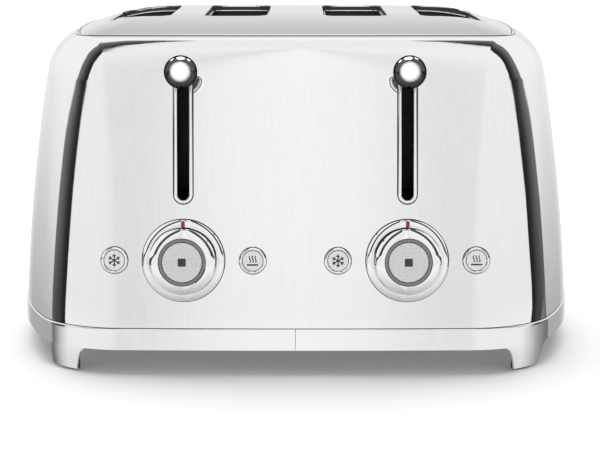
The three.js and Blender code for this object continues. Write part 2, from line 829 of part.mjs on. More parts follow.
const rodPlaces = leverPlaces.map((x) => x - rodSideOffset);
const rodShelfBottom = chamberTopHeight - rodShelfThickness;
function frontChamberPlate() {
  const shelves = rodPlaces.map((x) => block(
    [x - rodShelfHalfWidth, rodY - rodShelfOverhang, rodShelfBottom],
    [x + rodShelfHalfWidth, frontPlateBack, chamberTopHeight],
  ));
  return joined(chamberPlate(frontPlateFront, frontPlateBack, false), ...shelves);
}
part(toaster, 'chamber_plate_front', frontChamberPlate(), finish.galvanised);
part(toaster, 'chamber_plate_rear', chamberPlate(rearPlateFront, rearPlateBack, true), finish.galvanised);

// Mica heater boards, notched along both long edges for the ribbon element
function heaterBoard(x) {
  const y0 = frontPlateBack + seatGap;
  const y1 = rearPlateFront - seatGap;
  const pitch = (y1 - y0 - 2 * heaterLegWidth) / heaterNotchCount;
  const shape = rectangle(y0, y1, heaterBottomHeight, heaterTopHeight);
  const notches = sharesOf(heaterNotchCount).flatMap((share) => {
    const y = y0 + heaterLegWidth + pitch * (share * heaterNotchCount + 1 / 2);
    const low = [x - cutOverrun, y - heaterNotchWidth / 2];
    const high = [x + cutOverrun, y + heaterNotchWidth / 2];
    return [
      block([...low, heaterBottomHeight - cutOverrun], [...high, heaterBottomHeight + heaterNotchDepth]),
      block([...low, heaterTopHeight - heaterNotchDepth], [...high, heaterTopHeight + cutOverrun]),
    ];
  });
  const board = prismAcross(shape, x - heaterBoardThickness / 2, x + heaterBoardThickness / 2);
  const legs = [y0, y1 - heaterLegWidth].map((y) => block(
    [x - heaterBoardThickness / 2, y, heaterBottomHeight - heaterLegHeight],
    [x + heaterBoardThickness / 2, y + heaterLegWidth, heaterBottomHeight + heaterNotchDepth],
  ));
  return joined(cutBy(board, ...notches), ...legs);
}
const heaterPlaces = unitCentres.flatMap((x) => [
  x - slotPitchInUnit / 2 - heaterOffset,
  x,
  x + slotPitchInUnit / 2 + heaterOffset,
]);
heaterPlaces.forEach((x, index) => {
  part(toaster, `heater_board_${index + 1}`, heaterBoard(x), finish.mica);
});

// Bread guard: two upright grids, one each side of the bread, tied together underneath
function breadGuard(x) {
  const y0 = frontPlateBack + seatGap;
  const y1 = rearPlateFront - seatGap;
  const windowPitch = (y1 - y0 - guardBarSize) / guardWindowCount;
  const shape = rectangle(y0, y1, guardBottomHeight, guardTopHeight);
  const inner = guardBreadWidth / 2;
  const outer = inner + guardBarSize;
  const windows = sharesOf(guardWindowCount).map((share) => {
    const y = y0 + guardBarSize + windowPitch * share * guardWindowCount;
    return block(
      [x - outer - cutOverrun, y, guardBottomHeight + guardBarSize],
      [x + outer + cutOverrun, y + windowPitch - guardBarSize, guardTopHeight - guardBarSize],
    );
  });
  const grids = [
    cutBy(prismAcross(shape, x - outer, x - inner), ...windows),
    cutBy(prismAcross(shape, x + inner, x + outer), ...windows),
  ];
  const ties = sharesOf(guardTieCount).map((share) => {
    const bar = Math.round((share + 1 / (2 * guardTieCount)) * guardWindowCount);
    const y = y0 + windowPitch * bar;
    return block(
      [x - outer, y, guardBottomHeight],
      [x + outer, y + guardBarSize, guardBottomHeight + guardBarSize],
    );
  });
  return joined(...grids, ...ties);
}
slotCentres.forEach((x, index) => {
  part(toaster, `bread_guard_${index + 1}`, breadGuard(x), finish.galvanised);
});

// Bread rack: a fishbone strip that runs the length of the chamber and out through both plates
function breadRack(x) {
  const y0 = carriageBack + seatGap;
  const y1 = rearPlateBack + rackTailLength;
  const spine = rackSpineWidth / 2;
  const firstRib = frontPlateBack + rackRibEndMargin;
  const pitch = (rearPlateFront - frontPlateBack - 2 * rackRibEndMargin) / (rackRibCount - 1);
  const rightEdge = sharesOf(rackRibCount).flatMap((share) => {
    const y = firstRib + pitch * share * rackRibCount;
    return [
      [spine, y - rackRibWidth / 2],
      [rackRibHalfLength, y - rackRibWidth / 2],
      [rackRibHalfLength, y + rackRibWidth / 2],
      [spine, y + rackRibWidth / 2],
    ];
  });
  const rightSide = [[spine, y0], ...rightEdge, [spine, y1]];
  const leftSide = [...rightSide].reverse().map(([dx, y]) => [-dx, y]);
  const outline = polygon([...rightSide, ...leftSide].map(([dx, y]) => [x + dx, y]));
  return prismUp(outline, rackHeight, rackHeight + rackThickness);
}
slotCentres.forEach((x, index) => {
  part(toaster, `bread_rack_${index + 1}`, breadRack(x), finish.galvanised);
});

// Guide rod from the floor to the shelf on the front chamber plate
rodPlaces.forEach((x, index) => {
  const guide = rod(rodRadius, floorOfParts, rodShelfBottom - seatGap, rodSides);
  part(toaster, `guide_rod_${sideNames[index]}`, guide, finish.springSteel).position.set(x, rodY, 0);
});

// Return spring round the guide rod, under the carriage sleeve
class Helix extends THREE.Curve {
  getPoint(share, target = new THREE.Vector3()) {
    const angle = share * springTurns * fullTurn;
    const low = floorOfParts + springWireRadius + seatGap;
    const high = sleeveBottom - springWireRadius - seatGap;
    const height = between(low, high, share);
    return target.set(springRadius * Math.cos(angle), springRadius * Math.sin(angle), height);
  }
}

function returnSpring() {
  const section = new THREE.Shape();
  section.absarc(0, 0, springWireRadius, 0, fullTurn);
  return solidOf(welded(new THREE.ExtrudeGeometry(section, {
    steps: springTurns * springStepsPerTurn,
    curveSegments: springSides / 2,
    bevelEnabled: false,
    extrudePath: new Helix(),
  })));
}
rodPlaces.forEach((x, index) => {
  const spring = part(toaster, `return_spring_${sideNames[index]}`, returnSpring(), finish.springSteel);
  spring.position.set(x, rodY, 0);
});

// Height of the panel that the ball passes at the bottom of its travel
const ballLowHeight = ballHeight - leverTravel;
const ballPanelY = -outlineDepthAt(leverOffset, skinInset(ballLowHeight) - leverBezelProud);
const ballY = ballPanelY - ballClearance - ballRadius;

// Lever carriage: cross bar for two racks, stem, arm to the ball, guide sleeve and armature
function leverCarriage(unitX, leverX, rodX, magnetX) {
  const barHalf = slotPitchInUnit / 2 + carriageBarOverhang;
  const shape = polygon([
    [unitX - barHalf, carriageBarBottom], [unitX + barHalf, carriageBarBottom],
    [unitX + barHalf, carriageBarTop],
    [leverX + carriageStemWidth / 2, carriageBarTop + carriageBarOverhang],
    [leverX + carriageStemWidth / 2, armTop],
    [leverX - carriageStemWidth / 2, armTop],
    [leverX - carriageStemWidth / 2, carriageBarTop + carriageBarOverhang],
    [unitX - barHalf, carriageBarTop],
  ]);
  const plate = prismBack(shape, carriageFront, carriageBack);
  const arm = block(
    [leverX - armThickness / 2, ballY + ballRadius + armBallGap, armBottom],
    [leverX + armThickness / 2, carriageBack, armTop],
  );
  const spigot = solidOf(geometryOf(rod(
    spigotRadius,
    ballY + ballRadius - ballBoreDepth + seatGap,
    ballY + ballRadius + armHeight,
    rodSides,
  )).rotateX(-quarterTurn).translate(leverX, 0, ballHeight));
  const sleeve = rod(sleeveRadius, sleeveBottom, sleeveBottom + sleeveHeight, buttonSides);
  const web = block(
    [-rodRadius, 0, sleeveBottom],
    [rodRadius, rodStandoff + carriageThickness, sleeveBottom + carriageBarHeight / 2],
  );
  const boreTop = sleeveBottom + sleeveHeight + cutOverrun;
  const bore = rod(rodRadius + seatGap, sleeveBottom - cutOverrun, boreTop, rodSides);
  const slider = solidOf(geometryOf(cutBy(joined(sleeve, web), bore)).translate(rodX, rodY, 0));
  const armature = block(
    [magnetX - magnetWidth / 2, rodY - magnetDepth / 2, armatureBottom],
    [magnetX + magnetWidth / 2, carriageBack, armatureBottom + armatureThickness],
  );
  const tab = block(
    [magnetX - magnetPoleWidth, carriageFront, armatureBottom],
    [magnetX + magnetPoleWidth, carriageBack, carriageBarTop],
  );
  return joined(plate, arm, spigot, slider, armature, tab);
}

// Ball knob with a blind bore behind for the arm's spigot
function leverBall() {
  const sphere = new THREE.SphereGeometry(ballRadius, ballSides, ballRings);
  const ball = solidOf(welded(sphere).rotateX(quarterTurn));
  const bore = solidOf(geometryOf(rod(
    spigotRadius + seatGap,
    ballRadius - ballBoreDepth,
    ballRadius + cutOverrun,
    rodSides,
  )).rotateX(-quarterTurn));
  return cutBy(ball, bore);
}

// Electromagnet that holds the carriage down: yoke with two outer poles and a wound core
function latchMagnet() {
  const half = magnetWidth / 2;
  const deep = magnetDepth / 2;
  const yoke = block([-half, -deep, floorOfParts], [half, deep, floorOfParts + magnetBaseHeight]);
  const poles = [-half, half - magnetPoleWidth].map((x) => block(
    [x, -deep, floorOfParts],
    [x + magnetPoleWidth, deep, magnetTop],
  ));
  const core = rod(magnetPoleWidth / 2, floorOfParts, magnetTop, rodSides);
  const coilBottom = floorOfParts + magnetBaseHeight / 2;
  const coil = rod(magnetCoilRadius, coilBottom, magnetTop - magnetCoilInset, rodSides);
  return joined(yoke, ...poles, core, coil);
}

sideNames.forEach((side, index) => {
  const leverX = leverPlaces[index];
  const magnetX = leverX + magnetSideOffset;
  const carriage = leverCarriage(unitCentres[index], leverX, rodPlaces[index], magnetX);
  part(toaster, `lever_carriage_${side}`, carriage, finish.galvanised);
  const ball = part(toaster, `lever_ball_${side}`, leverBall(), finish.chrome);
  ball.position.set(leverX, ballY, ballHeight);
  const magnet = part(toaster, `latch_magnet_${side}`, latchMagnet(), finish.coil);
  magnet.position.set(magnetX, rodY, 0);
});

// Bright frame round a lever slot, bent to the wall, with a sleeve through the opening
function leverBezel(x) {
  const faceMargin = (leverBezelWidth - leverSlotWidth) / 2;
  const proudBody = filledBody(leverBezelProud);
  const face = cutBy(leverStadium(x, faceMargin).intersect(proudBody), filledBody(seatGap));
  const sleeve = cutBy(leverStadium(x, leverSleeveWall).intersect(proudBody), filledBody(-leverSleeveDepth));
  return cutBy(joined(face, sleeve), leverStadium(x, 0));
}
leverPlaces.forEach((x, index) => {
  part(toaster, `lever_bezel_${sideNames[index]}`, leverBezel(x), finish.chrome);
});

// Fixed ring round a browning dial, with a sleeve behind the panel
function dialBezel() {
  const lip = dialRadius + seatGap;
  const bore = lip + dialFlange;
  const slope = dialBezelRise - dialBezelDish;
  return turned([
    [lip, 0],
    [bore, 0],
    [bore, -bezelSleeveDepth],
    [bore + bezelSleeveWall, -bezelSleeveDepth],
    [bore + bezelSleeveWall, seatGap],
    [dialBezelRadius, seatGap],
    [dialBezelRadius, dialBezelDish],
    [dialBezelRadius - slope, dialBezelRise],
    [lip, dialBezelDish],
  ], dialSides);
}

// Browning dial: a turned ring with a rounded brow, running on the stop sleeve
function browningDial() {
  const bore = stopSleeveRadius + seatGap;
  const brow = dialRadius - dialFaceRadius;
  const drop = dialReach - dialShoulderReach;
  return turned([
    [bore, -dialBackReach],
    [dialRadius + dialFlange - seatGap, -dialBackReach],
    [dialRadius + dialFlange - seatGap, -dialBackReach + dialFlangeThickness],
    [dialRadius, -dialBackReach + dialFlangeThickness],
    ...dialBrowShares.map(([inward, outward]) => [
      dialRadius - brow * inward,
      dialShoulderReach + drop * outward,
    ]),
    [bore, dialReach],
  ], dialSides);
}

// Fixed dark sleeve between the dial and the stop button, standing on the control board
function stopSleeve(boardDepth) {
  const low = -boardDepth + seatGap;
  const high = dialReach - stopSleeveDrop;
  return turned([
    [stopSleeveRadius - stopSleeveWall, low],
    [stopSleeveRadius, low],
    [stopSleeveRadius, high - stopSleeveDrop],
    [stopSleeveRadius - stopSleeveWall / 2, high],
    [stopSleeveRadius - stopSleeveWall, high - stopSleeveDrop],
  ], dialSides);
}

// Push button with a slightly crowned head, and a stem that ends its own travel above a switch
// on the board, which lies this far behind the button's own place on the skin
function pushButton({ radius, stemRadius, reach, crown, depth, travel, sides, boardDepth }) {
  const stemEnd = switchHeight - boardDepth + travel + seatGap;
  return turned([
    [0, stemEnd],
    [stemRadius, stemEnd],
    [stemRadius, reach - depth],
    [radius, reach - depth],
    [radius, reach - crown],
    [radius - crown, reach],
    [0, reach],
  ], sides);
}

function buttonBezel() {
  const bore = buttonRadius + seatGap;
  const round = (buttonBezelRadius - bore) / 2;
  return turned([
    [bore, -buttonSleeveDepth],
    [bore + buttonSleeveWall, -buttonSleeveDepth],
    [bore + buttonSleeveWall, seatGap],
    [buttonBezelRadius, seatGap],
    [buttonBezelRadius, buttonBezelRise - round],
    [buttonBezelRadius - round, buttonBezelRise],
    [bore, buttonBezelRise - round],
  ], buttonSides);
}

// Circuit board behind one set of controls, on two legs down to the floor plate
function controlBoard(lean, boardDepth) {
  const high = -boardDepth;
  const low = high - boardThickness;
  const legDrop = (dialHeight - floorOfParts + high * Math.sin(lean)) / Math.cos(lean);
  const outline = rectangle(-boardHalfWidth, boardHalfWidth, -boardHalfHeight, boardHalfHeight);
  const plate = prismUp(outline, low, high);
  const legs = [-boardHalfWidth, boardHalfWidth - boardLegWidth].map((x) => block(
    [x, -legDrop, low],
    [x + boardLegWidth, 0, high],
  ));
  const switches = [-buttonOffset, 0, buttonOffset].map((x) => block(
    [x - switchSize / 2, -switchSize / 2, high - boardThickness / 2],
    [x + switchSize / 2, switchSize / 2, high + switchHeight],
  ));
  return joined(plate, ...legs, ...switches);
}

// How far a control's place on the skin lies behind the plane that touches the skin at the dial
function setBack(dialFrame, frame) {
  const outward = new THREE.Vector3(0, 0, 1).applyEuler(dialFrame.rotation);
  return new THREE.Vector3().subVectors(dialFrame.position, frame.position).dot(outward);
}

sideNames.forEach((side, index) => {
  const dialFrame = controlFrame(leverPlaces[index], dialHeight);
  const buttonFrames = buttonPlaces[index].map(({ x }) => controlFrame(x, dialHeight));
  const setBacks = buttonFrames.map((frame) => setBack(dialFrame, frame));
  const boardDepth = boardStandoff + Math.max(...setBacks);
  part(dialFrame, `dial_bezel_${side}`, dialBezel(), finish.chrome);
  part(dialFrame, `browning_dial_${side}`, browningDial(), finish.chrome);
  part(dialFrame, `stop_sleeve_${side}`, stopSleeve(boardDepth), finish.ringPlastic);
  const stop = pushButton({
    radius: stopSleeveRadius - stopSleeveWall - seatGap,
    stemRadius: stopStemRadius,
    reach: dialReach - stopButtonDrop,
    crown: stopButtonCrown,
    depth: stopButtonDepth,
    travel: stopTravel,
    sides: dialSides,
    boardDepth,
  });
  part(dialFrame, `stop_button_${side}`, stop, finish.satinGrey);
  const lean = quarterTurn - dialFrame.rotation.x;
  part(dialFrame, `control_board_${side}`, controlBoard(lean, boardDepth), finish.circuitBoard);
  toaster.add(dialFrame);
  buttonPlaces[index].forEach(({ kind }, place) => {
    const frame = buttonFrames[place];
    const button = pushButton({
      radius: buttonRadius,
      stemRadius: buttonStemRadius,
      reach: buttonReach,
      crown: buttonCrown,
      depth: buttonDepth,
      travel: buttonTravel,
      sides: buttonSides,
      boardDepth: boardDepth - setBacks[place],
    });
    part(frame, `${kind}_bezel_${side}`, buttonBezel(), finish.chrome);
    part(frame, `${kind}_button_${side}`, button, finish.satinGrey);
    toaster.add(frame);
  });
});

// Crumb tray: a shallow pan that slides out through the rear band, with a bent grip
function crumbTray(x) {
  const front = frontPlateBack + seatGap;
  const reach = Math.abs(x) + trayHalf;
  const back = outlineDepthAt(reach, trimThickness + seatGap);
  const low = trayBottom;
  const pan = cutBy(
    block([x - trayHalf, front, low], [x + trayHalf, back, low + trayHeight]),
    block(
      [x - trayHalf + traySheet, front + traySheet, low + traySheet],
      [x + trayHalf - traySheet, back - trayFasciaThickness, low + trayHeight + cutOverrun],
    ),
  );
  const fascia = block(
    [x - trayHalf, back - trayFasciaThickness, low],
    [x + trayHalf, back, low + trayFasciaHeight],
  );
  const gripReach = halfDepth + trayGripLength - back;
  const grip = roundedRectangle(x, back, trayGripWidth, 2 * gripReach, trayGripRound);
  const halfGrip = cutBy(
    prismUp(grip, low, low + trayFasciaThickness),
    block(
      [x - trayGripWidth, back - 2 * gripReach, low - cutOverrun],
      [x + trayGripWidth, back - trayFasciaThickness / 2, low + trayFasciaHeight],
    ),
  );
  return joined(pan, fascia, halfGrip);
}
unitCentres.forEach((x, index) => {
  part(toaster, `crumb_tray_${sideNames[index]}`, crumbTray(x), finish.galvanised);
});

// The balls stand further forward than the tray grips stand back: the origin is midway
const frontReach = -(ballY - ballRadius);
const rearReach = halfDepth + trayGripLength;
const wholeToaster = new THREE.Group();
toaster.position.y = (frontReach - rearReach) / 2;
wholeToaster.add(toaster);

export default wholeToaster;
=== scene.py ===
"""Looks of the four-slice toaster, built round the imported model. Lengths are millimetres."""
from math import acos, asin, atan2, copysign, cos, hypot, pi, radians, sin, sqrt, tan

import bmesh
import bpy
from mathutils import Matrix, Vector


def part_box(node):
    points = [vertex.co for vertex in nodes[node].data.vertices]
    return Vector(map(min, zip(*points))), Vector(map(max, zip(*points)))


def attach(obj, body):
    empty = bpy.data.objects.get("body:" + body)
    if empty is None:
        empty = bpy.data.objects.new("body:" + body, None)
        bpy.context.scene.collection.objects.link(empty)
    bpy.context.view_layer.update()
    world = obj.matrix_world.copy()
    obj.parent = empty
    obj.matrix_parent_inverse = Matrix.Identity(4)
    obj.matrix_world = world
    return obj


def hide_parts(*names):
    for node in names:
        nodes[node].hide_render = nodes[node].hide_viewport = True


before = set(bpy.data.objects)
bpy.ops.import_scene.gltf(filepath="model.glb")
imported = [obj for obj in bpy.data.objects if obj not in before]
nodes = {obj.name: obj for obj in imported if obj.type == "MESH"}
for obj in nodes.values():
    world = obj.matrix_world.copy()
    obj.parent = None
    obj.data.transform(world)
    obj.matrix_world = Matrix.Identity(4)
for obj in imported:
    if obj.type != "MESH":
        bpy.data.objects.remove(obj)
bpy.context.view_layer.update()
MM = 0.001

# Body form, as in the solids
WIDTH, DEPTH = 390.0, 314.0
HALF_W, HALF_D = WIDTH / 2, DEPTH / 2
FRONT_R, SIDE_R, CORNER_R = 4000.0, 300.0, 64.0
LID_SIDE_R, LID_CORNER_R, TIGHTENING = 750.0, 14.0, 8.0
STRAIGHT_POWER = 1.9
FOOT_INSET = 0.8
LEAN_LOW = radians(2.8)
WALL_R, WALL_Z = 1178.0, 31.6
SHOULDER_Z, SHOULDER_R = 191.5, 37.0
CREASE = radians(68.0)
CROWN_R = 160.0
SHEET = 1.0
SHIFT_Y = sum(corner.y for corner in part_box("body_shell")) / 2 / MM
QUARTER = pi / 2

LEAN_HIGH = asin(sin(LEAN_LOW) + (SHOULDER_Z - WALL_Z) / WALL_R)


def wall_inset(lean):
    return FOOT_INSET + WALL_R * (cos(LEAN_LOW) - cos(lean))


SHOULDER_INSET = wall_inset(LEAN_HIGH)
CREASE_INSET = SHOULDER_INSET + SHOULDER_R * (cos(LEAN_HIGH) - cos(CREASE))
CREASE_Z = SHOULDER_Z + SHOULDER_R * (sin(CREASE) - sin(LEAN_HIGH))
CREST_Z = CREASE_Z + CROWN_R * (1 - sin(CREASE))
CROWN_END = CREASE_INSET + CROWN_R * cos(CREASE)

SLOT_XS = [-107.05, -41.05, 41.05, 107.05]
SLOT_W, SLOT_L, SLOT_CORNER, SLOT_Y = 43.0, 128.0, 7.0, -5.8
LEVER_XS = {"left": -72.7, "right": 72.7}
LEVER_SLOT_W, LEVER_SLOT_LOW, LEVER_SLOT_HIGH = 7.5, 115.2, 202.2
DIAL_Z = 76.1
BUTTON_DX = 45.0
SIDES = ("left", "right")
DIAL_SIDES, BALL_SIDES, STOP_SIDES, BUTTON_SIDES = 128, 96, 96, 64


def outline_arcs(inset):
    """Side, corner and front arcs (x, y, radius) of a quarter outline, and the angles where they meet."""
    blend = min(max(inset / CREASE_INSET, 0.0), 1.0) ** STRAIGHT_POWER
    side_r = SIDE_R + (LID_SIDE_R - SIDE_R) * blend - inset
    front_r = FRONT_R - inset
    radius = max(CORNER_R - TIGHTENING * blend - inset, LID_CORNER_R)
    sx, fy = HALF_W - inset - side_r, HALF_D - inset - front_r
    to_front, to_side = front_r - radius, side_r - radius
    apart = hypot(sx, fy)
    along = (to_front ** 2 - to_side ** 2 + apart ** 2) / (2 * apart)
    across = sqrt(to_front ** 2 - along ** 2)
    ux, uy = sx / apart, -fy / apart
    x, y = along * ux + across * uy, fy + along * uy - across * ux
    return (sx, 0.0, side_r), (x, y, radius), (0.0, fy, front_r), atan2(y, x - sx), atan2(y - fy, x)


SIDE_ANGLE, FRONT_ANGLE = outline_arcs(0.0)[3:]


def outline(side_steps, corner_steps, front_steps, extra=()):
    """Closed anticlockwise loop of points, each as arc number, share of that arc and signs of its quarter."""
    corner = sorted({i / corner_steps for i in range(corner_steps)} | set(extra))
    quadrant = [(0, i / side_steps, 1, 1) for i in range(side_steps)]
    quadrant += [(1, share, 1, 1) for share in corner]
    quadrant += [(2, i / front_steps, 1, 1) for i in range(front_steps + 1)]
    inner = quadrant[1:-1]

    def mirrored(points, sx, sy):
        return [(arc, share, sx, sy) for arc, share, _, _ in points]

    return (quadrant + mirrored(inner[::-1], -1, 1) + mirrored(quadrant[:1], -1, 1)
            + mirrored(inner, -1, -1) + mirrored(quadrant[-1:], 1, -1) + mirrored(inner[::-1], 1, -1))


arcs_kept = {}


def moved_in(p, inset):
    """Place of an outline point once the outline has moved inwards."""
    if inset not in arcs_kept:
        arcs_kept[inset] = outline_arcs(inset)
    arcs = arcs_kept[inset]
    arc, share, sx, sy = p
    ends = ((0.0, arcs[3]), (arcs[3], arcs[4]), (arcs[4], QUARTER))[arc]
    a = ends[0] + (ends[1] - ends[0]) * share
    x, y, radius = arcs[arc]
    return sx * (x + radius * cos(a)), sy * (y + radius * sin(a))


def wall(share, offset=0.0):
    a = LEAN_LOW + (LEAN_HIGH - LEAN_LOW) * share
    z = WALL_Z + WALL_R * (sin(a) - sin(LEAN_LOW))
    return wall_inset(a) + offset * cos(a), z - offset * sin(a)


def shoulder(share, offset=0.0):
    a = LEAN_HIGH + (CREASE - LEAN_HIGH) * share
    r = SHOULDER_R - offset
    return (SHOULDER_INSET + SHOULDER_R * cos(LEAN_HIGH) - r * cos(a),
            SHOULDER_Z - SHOULDER_R * sin(LEAN_HIGH) + r * sin(a))


def crown(share, offset=0.0):
    a = CREASE + (QUARTER - CREASE) * share
    r = CROWN_R - offset
    return CROWN_END - r * cos(a), CREST_Z - CROWN_R + r * sin(a)


def lean_at(z):
    """Elevation of the skin's normal at a height on the wall or shoulder."""
    if z <= SHOULDER_Z:
        return asin(sin(LEAN_LOW) + (z - WALL_Z) / WALL_R)
    low = SHOULDER_Z - SHOULDER_R * sin(LEAN_HIGH)
    return asin(max(-1.0, min(1.0, (z - low) / SHOULDER_R)))


def skin_inset(z):
    a = lean_at(z)
    if z <= SHOULDER_Z:
        return wall_inset(a)
    return SHOULDER_INSET + SHOULDER_R * (cos(LEAN_HIGH) - cos(a))


def depth_at(x, inset):
    """How far forward the outline runs at this x."""
    _, corner, front, _, front_angle = outline_arcs(inset)
    x = abs(x)
    arc = front if x <= front[2] * cos(front_angle) else corner
    return arc[1] + sqrt(arc[2] ** 2 - (x - arc[0]) ** 2)


def ring_distance(x, y, inset):
    """Distance inwards from the outline at an inset, its arc number and its outward normal's angle."""
    arcs = outline_arcs(inset)
    ax, ay = abs(x), abs(y)
    turn = atan2(ay - arcs[1][1], ax - arcs[1][0])
    if arcs[3] <= turn <= arcs[4]:
        arc = 1
    else:
        arc = 0 if ay - tan(arcs[3]) * (ax - arcs[0][0]) < 0 else 2
    dx, dy = ax - arcs[arc][0], ay - arcs[arc][1]
    return arcs[arc][2] - hypot(dx, dy), arc, atan2(dy, dx)


def crown_inset(x, y, low=0.0, high=150.0, halvings=30):
    """Inset of the outline that runs through a point of the lid."""
    for _ in range(halvings):
        middle = (low + high) / 2
        low, high = (middle, high) if ring_distance(x, y, middle)[0] > 0 else (low, middle)
    return low


def surface_normal(x, y, inset, lean, probe=0.05, least_pace=0.05):
    """Normal of the surface that the outlines sweep, where its profile leans by this much."""
    _, arc, angle = ring_distance(x, y, inset)
    reach = []
    for step in (-probe, probe):
        ax, ay, radius = outline_arcs(inset + step)[arc]
        reach.append(ax * cos(angle) + ay * sin(angle) + radius)
    pace = max((reach[0] - reach[1]) / (2 * probe), least_pace)
    flat = cos(lean) / pace
    return Vector((copysign(flat * cos(angle), x), copysign(flat * sin(angle), y),
                   sin(lean))).normalized()


def crown_height(x, y):
    inset = min(crown_inset(x, y), CROWN_END)
    return CREST_Z - CROWN_R + sqrt(CROWN_R ** 2 - (CROWN_END - inset) ** 2)


def placed(x, y, z):
    return (x * MM, (y + SHIFT_Y) * MM, z * MM)


def unplaced(co):
    return co[0] / MM, co[1] / MM - SHIFT_Y, co[2] / MM


shift = Matrix.Translation(placed(0, 0, 0))


def new_object(name, data):
    made = bpy.data.objects.new(name, data)
    bpy.context.scene.collection.objects.link(made)
    return made


def arc_points(x, y, radius, start, end, steps):
    """Points of an arc about (x, y), both ends included."""
    turns = [start + (end - start) * i / steps for i in range(steps + 1)]
    return [(x + radius * cos(turn), y + radius * sin(turn)) for turn in turns]


# Materials
NOISE_LOW, NOISE_HIGH = 0.3, 0.7


def set_inputs(node, **values):
    for key, value in values.items():
        node.inputs[key.replace("_", " ")].default_value = value
    return node


def new_material(name, color, roughness, metallic, **sockets):
    material = bpy.data.materials.new(name)
    material.use_nodes = True
    set_inputs(material.node_tree.nodes["Principled BSDF"], Base_Color=(*color, 1.0), Roughness=roughness,
               Metallic=metallic, **sockets)
    return material


def grey(value):
    return (value, value, value)


def noisy(name, color, roughness, metallic, scale, *, rough, tint, stretch=(1, 1, 1), detail=3.0, bump=None,
          **sockets):
    """Material whose roughness and colour, and bump where it is given, follow noise in object space."""
    material = new_material(name, color, roughness, metallic, **sockets)
    tree = material.node_tree
    link = tree.links.new
    shader = tree.nodes["Principled BSDF"]
    mapping = set_inputs(tree.nodes.new("ShaderNodeMapping"), Scale=stretch)
    noise = set_inputs(tree.nodes.new("ShaderNodeTexNoise"), Scale=scale, Detail=detail)
    link(tree.nodes.new("ShaderNodeTexCoord").outputs["Object"], mapping.inputs["Vector"])
    link(mapping.outputs["Vector"], noise.inputs["Vector"])
    spread = set_inputs(tree.nodes.new("ShaderNodeMapRange"), From_Min=NOISE_LOW, From_Max=NOISE_HIGH,
                        To_Min=rough[0], To_Max=rough[1])
    link(noise.outputs["Fac"], spread.inputs["Value"])
    link(spread.outputs["Result"], shader.inputs["Roughness"])
    ramp = tree.nodes.new("ShaderNodeValToRGB")
    for stop, position, value in zip(ramp.color_ramp.elements, (NOISE_LOW, NOISE_HIGH), tint):
        stop.position = position
        stop.color = (*(value if isinstance(value, tuple) else grey(value)), 1.0)
    link(noise.outputs["Fac"], ramp.inputs["Fac"])
    link(ramp.outputs["Color"], shader.inputs["Base Color"])
    if bump:
        relief = set_inputs(tree.nodes.new("ShaderNodeBump"), Strength=bump[0], Distance=bump[1])
        link(noise.outputs["Fac"], relief.inputs["Height"])
        link(relief.outputs["Normal"], shader.inputs["Normal"])
    return material


steel = noisy("polished_steel", (0.9, 0.903, 0.906), 0.045, 1.0, 1.0, stretch=(420, 420, 5), detail=4.0,
              rough=(0.03, 0.06), tint=((0.885, 0.888, 0.892), (0.915, 0.917, 0.92)), bump=(0.02, 0.00005))
chrome = noisy("bright_chrome", grey(0.93), 0.04, 1.0, 160.0, detail=2.0, rough=(0.03, 0.055),
               tint=(0.92, 0.94))
# The knob chrome's base colour is near black: a painted dark reflection of a dark surrounding in the balls,
# whose light comes from the knob lamps
knob = noisy("knob_chrome", grey(0.095), 0.16, 1.0, 200.0, detail=2.0, rough=(0.14, 0.18), tint=(0.09, 0.1),
             Specular_Tint=(*grey(0.2), 1.0))
cast = noisy("cast_trim", (0.88, 0.88, 0.885), 0.1, 1.0, 220.0, detail=4.0, rough=(0.08, 0.14),
             tint=(0.86, 0.9), bump=(0.02, 0.00005))
galvanised = noisy("zinc_sheet", (0.6, 0.61, 0.62), 0.4, 1.0, 60.0, detail=5.0, rough=(0.3, 0.5),
                   tint=(0.5, 0.68), bump=(0.05, 0.0001))
# Near-black steel: heat tint on the chamber parts, and painted shade for the dark inside of the slots, on
# those parts and on the lips' upright faces
heat_tint_and_painted_shade = noisy("heat_tint_and_painted_shade_steel", grey(0.03), 0.5, 0.6, 60.0, detail=5.0, rough=(0.42, 0.6),
                      tint=(0.05, 0.08), bump=(0.05, 0.0001))
wire = noisy("bright_wire", (0.72, 0.72, 0.73), 0.22, 1.0, 90.0, rough=(0.15, 0.3), tint=(0.6, 0.78))
spring = noisy("spring_wire", (0.5, 0.5, 0.52), 0.3, 1.0, 90.0, rough=(0.22, 0.4), tint=(0.42, 0.58))
satin = noisy("satin_face", grey(0.5), 0.42, 0.0, 700.0, detail=4.0, rough=(0.36, 0.5), tint=(0.6, 0.64),
              bump=(0.03, 0.00003))
pearl = noisy("pearl_face", grey(0.75), 0.35, 0.0, 700.0, detail=4.0, rough=(0.3, 0.4), tint=(0.72, 0.78),
              bump=(0.03, 0.00003))
ring_grey = noisy("ring_plastic", (0.2, 0.2, 0.202), 0.3, 0.0, 500.0, rough=(0.24, 0.36), tint=(0.19, 0.215))
# Near-black plastic: the cord gland's own colour, and painted shade on the lid's seam and groove faces and on
# the rings round the lever frames and bezels
dark_plastic = noisy("dark_plastic", (0.02, 0.02, 0.021), 0.5, 0.0, 500.0, rough=(0.42, 0.58),
                     tint=(0.016, 0.026))
rubber = noisy("rubber", grey(0.018), 0.85, 0.0, 900.0, detail=5.0, rough=(0.75, 0.95), tint=(0.013, 0.024),
               bump=(0.2, 0.0001))
mica = noisy("mica", (0.12, 0.1, 0.075), 0.6, 0.0, 120.0, detail=6.0, rough=(0.45, 0.75),
             tint=((0.09, 0.075, 0.055), (0.15, 0.125, 0.095)))
ribbon = noisy("heating_ribbon", (0.3, 0.27, 0.25), 0.4, 1.0, 200.0, rough=(0.3, 0.5),
               tint=((0.24, 0.21, 0.2), (0.38, 0.35, 0.33)))
board = noisy("circuit_board", (0.03, 0.13, 0.06), 0.45, 0.0, 300.0, rough=(0.35, 0.55),
              tint=((0.02, 0.1, 0.045), (0.04, 0.16, 0.08)))
